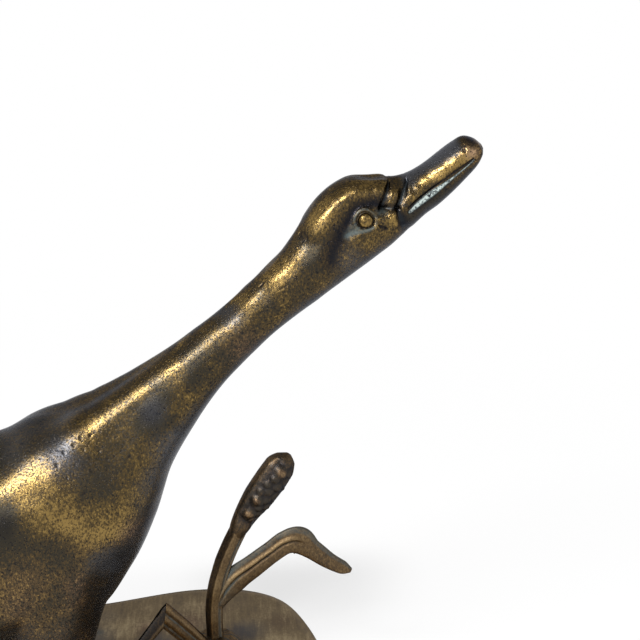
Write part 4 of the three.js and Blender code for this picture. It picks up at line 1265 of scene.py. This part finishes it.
def patina(place, tones, wear_level, roughness, specks_share, softness=1.0, relief=0.6,
           grain_size=0.4, grain_scale=(1, 1, 0.4), grain_turn=math.radians(45)):
    """Antique bronze: near-black and brown patina, worn through to gold, verdigris in hollows; the mark
    that sets the gold also carries painted highlights and painted shade.
    """
    tree = place.node.id_data
    black, brown, gold = tones
    grain_place = mapped(place, Rotation=(0, grain_turn, 0), Scale=grain_scale)
    clouds = noise(place, 15, 2)
    mottle = noise(place, 3.4, 4, 0.6)
    speckle = noise(place, 0.7, 3, 0.7)
    grain = noise(grain_place, grain_size, 3, 0.7)
    rubbed, hollow, green, red, blue = (
        add("Attribute", {}, tree, attribute_name=mark).outputs["Fac"] for mark in MARKS)
    wear = weighted((clouds, 0.35), (mottle, 0.3), (speckle, 0.55), (grain, 0.7), (rubbed, 0.16))
    brown = blend(weighted((red, 0.8)), brown, RED_BROWN)
    brown = blend(weighted((blue, 0.45)), brown, BLUE_BLACK)
    black = blend(weighted((blue, 0.85)), black, BLUE_BLACK)
    gold = blend(weighted((maths("MULTIPLY", red, red), 0.75)), gold, ROSY_GOLD)
    worn = ramp(wear, wear_level - 0.2 * softness, wear_level + 0.02 * softness)
    bare = ramp(wear, wear_level - 0.03 * softness, wear_level + 0.18 * softness)
    colour = blend(bare, blend(worn, black, brown), gold)
    specks = ramp(noise(place, 0.6, 2, 0.6), 0.55, 0.65)
    colour = blend(weighted((specks, specks_share)), colour, DEEP)
    colour = blend(weighted((hollow, 0.92)), colour, DEEP)
    patchy = maths("MULTIPLY", green, ramp(mottle, 0.35, 0.5, 0.75, 1))
    film = ramp(patchy, 0.1, 0.5)
    pale = blend(ramp(patchy, 0.4, 1.0), GREY_GREEN, PALE_GREEN)
    pits = maths("MULTIPLY", ramp(speckle, 0.4, 0.54, 1, 0), ramp(patchy, 0.4, 0.8))
    oxide = weighted((film, 1), (blue, 0.35), (red, 0.15))
    rough = weighted((bare, -0.04), (speckle, 0.16), (film, 0.35))
    height = weighted((grain, 0.8), (speckle, 0.8), (mottle, 0.5), (specks, -0.8))
    return {"Base Color": blend(film, colour, blend(pits, pale, DEEP)),
            "Metallic": maths("SUBTRACT", 1.0, oxide, clamp=True),
            "Roughness": maths("ADD", rough, roughness),
            "Normal": bump(height, relief, 0.08), "Specular Tint": COOL_EDGE}


def zinc_steel(place):
    grain = noise(place, 0.35, 4)
    return {"Base Color": blend(grain, (0.42, 0.42, 0.42), (0.62, 0.62, 0.6)), "Metallic": 1,
            "Roughness": ramp(grain, 0.3, 0.7, 0.28, 0.45), "Normal": bump(grain, 0.3, 0.03)}


def green_felt(place):
    fibre = noise(place, 0.5, 6, 0.7)
    return {"Base Color": blend(fibre, (0.012, 0.03, 0.018), (0.045, 0.085, 0.055)),
            "Roughness": 0.95, "Sheen Weight": 0.4, "Normal": bump(fibre, 0.8, 0.15)}


# Stage

def seen_rays(tree):
    """1 for rays that show the background: from the camera, a reflection or a transmission."""
    rays = add("LightPath", {}, tree).outputs
    seen = maths("MAXIMUM", rays["Is Camera Ray"], rays["Is Glossy Ray"])
    return maths("MAXIMUM", seen, rays["Is Transmission Ray"])


FLOOR_REACH = 6000
# Brightness of the floor's white, as (from, to, near, far), with distances in metres: round the
# middle, and round a painted shadow behind the base, where less glow lets the floor's own shading show
FLOOR_FADE = (0.1, 0.4, 0.9, 1)
SHADOW_FADE = (0.01, 0.042, 0.64, 1)
# The shadow's middle is where the floor's places, scaled and then shifted, come to 0
SHADOW_SHIFT, SHADOW_SCALE = (-0.055, -0.066, 0), (0.85, 1, 1)


def white_floor(place):
    """White surface that glows for the camera, less near the goose, and less again round a painted
    shadow behind the base.
    """
    tree = place.node.id_data
    behind = mapped(place, Location=SHADOW_SHIFT, Scale=SHADOW_SCALE)
    white = maths("MULTIPLY", ramp(distance_from_middle(place), *FLOOR_FADE),
                  ramp(distance_from_middle(behind), *SHADOW_FADE))
    share = maths("MULTIPLY", seen_rays(tree), white)
    glow = add("Emission", {"Color": (1, 1, 1), "Strength": 1.0}, tree)
    surface = tree.nodes["Principled BSDF"].outputs[0]
    mix = add("MixShader", {0: share, 1: surface, 2: glow.outputs[0]})
    feed(tree.nodes["Material Output"], {"Surface": mix.outputs[0]})
    return {"Base Color": (0.95, 0.95, 0.95), "Roughness": 1, "Specular IOR Level": 0}


def floor():
    corners = [(x * FLOOR_REACH, y * FLOOR_REACH, 0) for x, y in ((-1, -1), (1, -1), (1, 1), (-1, 1))]
    plane = new_mesh("floor", corners, [(0, 1, 2, 3)])
    plane.data.materials.append(new_material("white_floor", white_floor))


# Brightness of the world by how far up a ray points, as (from, to, low, high), and its light
# on the goose
WALL_FADE = (0.3, 0.75, 1, 0.42)
WORLD_LIGHT = 0.5


def world():
    """White walls for the camera and in reflections, under a grey ceiling."""
    sky = bpy.data.worlds.new("studio")
    bpy.context.scene.world = sky
    sky.use_nodes = True
    tree = sky.node_tree
    direction = add("TexCoord", {}, tree).outputs["Generated"]
    height = add("SeparateXYZ", {"Vector": direction}).outputs["Z"]
    seen = seen_rays(tree)
    plain = maths("MULTIPLY", maths("SUBTRACT", 1.0, seen), WORLD_LIGHT)
    walls = maths("MULTIPLY", seen, ramp(height, *WALL_FADE))
    strength = maths("ADD", walls, plain)
    feed(tree.nodes["Background"], {"Color": (1, 1, 1), "Strength": strength})


AIM = Vector((65, 0, 122)) * MM
VIEW_ANGLES, VIEW_DISTANCE = (-5, 20), 380
FOCAL_LENGTH, SENSOR_WIDTH = 76, 36
# A long strip at the upper left, which runs along the neck, a panel under it and a fill, as name,
# azimuth, elevation, distance and size in metres, watts, and the direction of the first side
LAMPS = [
    ("strip", -53.3, 40.7, 0.8, (0.58, 0.11), 8, (-0.395, 0.197, -0.215)),
    ("panel", -40, 14, 0.9, (0.7, 0.3), 1.6, (1, 0.4, 0)),
    ("fill", 40, 30, 1.2, (0.8, 0.8), 1.2, (0, 0, 1)),
]


def view_direction(azimuth, elevation):
    """From the goose towards a viewer; azimuth 0 looks along +Y."""
    azimuth, elevation = math.radians(azimuth), math.radians(elevation)
    return Vector((math.sin(azimuth) * math.cos(elevation), -math.cos(azimuth) * math.cos(elevation),
                   math.sin(elevation)))


def lamp(name, azimuth, elevation, distance, size, power, along):
    """Rectangular soft lamp that faces the goose."""
    light = bpy.data.lights.new(name, "AREA")
    light.shape = "RECTANGLE"
    light.size, light.size_y = size
    light.energy = power
    holder = new_object(name, light)
    back = view_direction(azimuth, elevation)
    side = Vector(along)
    side = (side - side.dot(back) * back).normalized()
    holder.location = AIM + back * distance
    holder.rotation_euler = Matrix((side, back.cross(side), back)).transposed().to_euler()


def camera():
    lens = bpy.data.cameras.new("photo_view")
    lens.lens = FOCAL_LENGTH
    lens.sensor_width = SENSOR_WIDTH
    lens.clip_start = 0.01
    view = new_object("photo_view", lens)
    back = view_direction(*VIEW_ANGLES)
    view.location = AIM + back * VIEW_DISTANCE * MM
    view.rotation_euler = back.to_track_quat("Z", "Y").to_euler()
    bpy.context.scene.camera = view


# The goose

BRONZE = new_material("goose_bronze", patina, tones=BODY_TONES, wear_level=1.0, roughness=0.19,
                      specks_share=0.7)
PLANT_BRONZE = new_material("plant_bronze", patina, tones=PLANT_TONES, wear_level=0.96, roughness=0.33,
                            specks_share=0.15, softness=1.3, relief=0.4)
BASE_BRONZE = new_material("base_bronze", patina, tones=BASE_TONES, wear_level=0.99, roughness=0.38,
                           specks_share=0.06, softness=2.2, relief=0.12,
                           grain_size=1.1, grain_scale=(1, 0.12, 1), grain_turn=0)

pieces = [torso(), neck_head(), tail()]
for side in (LEFT, RIGHT):
    pieces += [wing(side), leg(side), foot(side)]
pieces += [base(), stem(), spike(), root_clump(),
           blade("bent_reed_form", "bent_reed", REED_LINE, REED_WIDTH, reed_relief),
           blade("bent_leaf_form", "bent_leaf", LEAF_RISE, LEAF_WIDTH, rise_relief,
                 cut=lambda grid: folded(grid, beyond=False)),
           blade("folded_limb", "bent_leaf", LEAF_FALL, LEAF_WIDTH, fall_relief, FOLDED_THICKNESS,
                 lambda grid: folded(grid, beyond=True))]
for piece in pieces:
    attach(piece, "root")

STEEL = new_material("zinc_steel", zinc_steel)
FELT = new_material("green_felt", green_felt)
for name, node in frame["nodes"].items():
    if not node.hide_render:
        node.data.materials.clear()
        node.data.materials.append(FELT if name == "base_felt" else STEEL)

floor()
world()
for settings in LAMPS:
    lamp(*settings)
camera()
bpy.context.scene.view_settings.view_transform = "Standard"
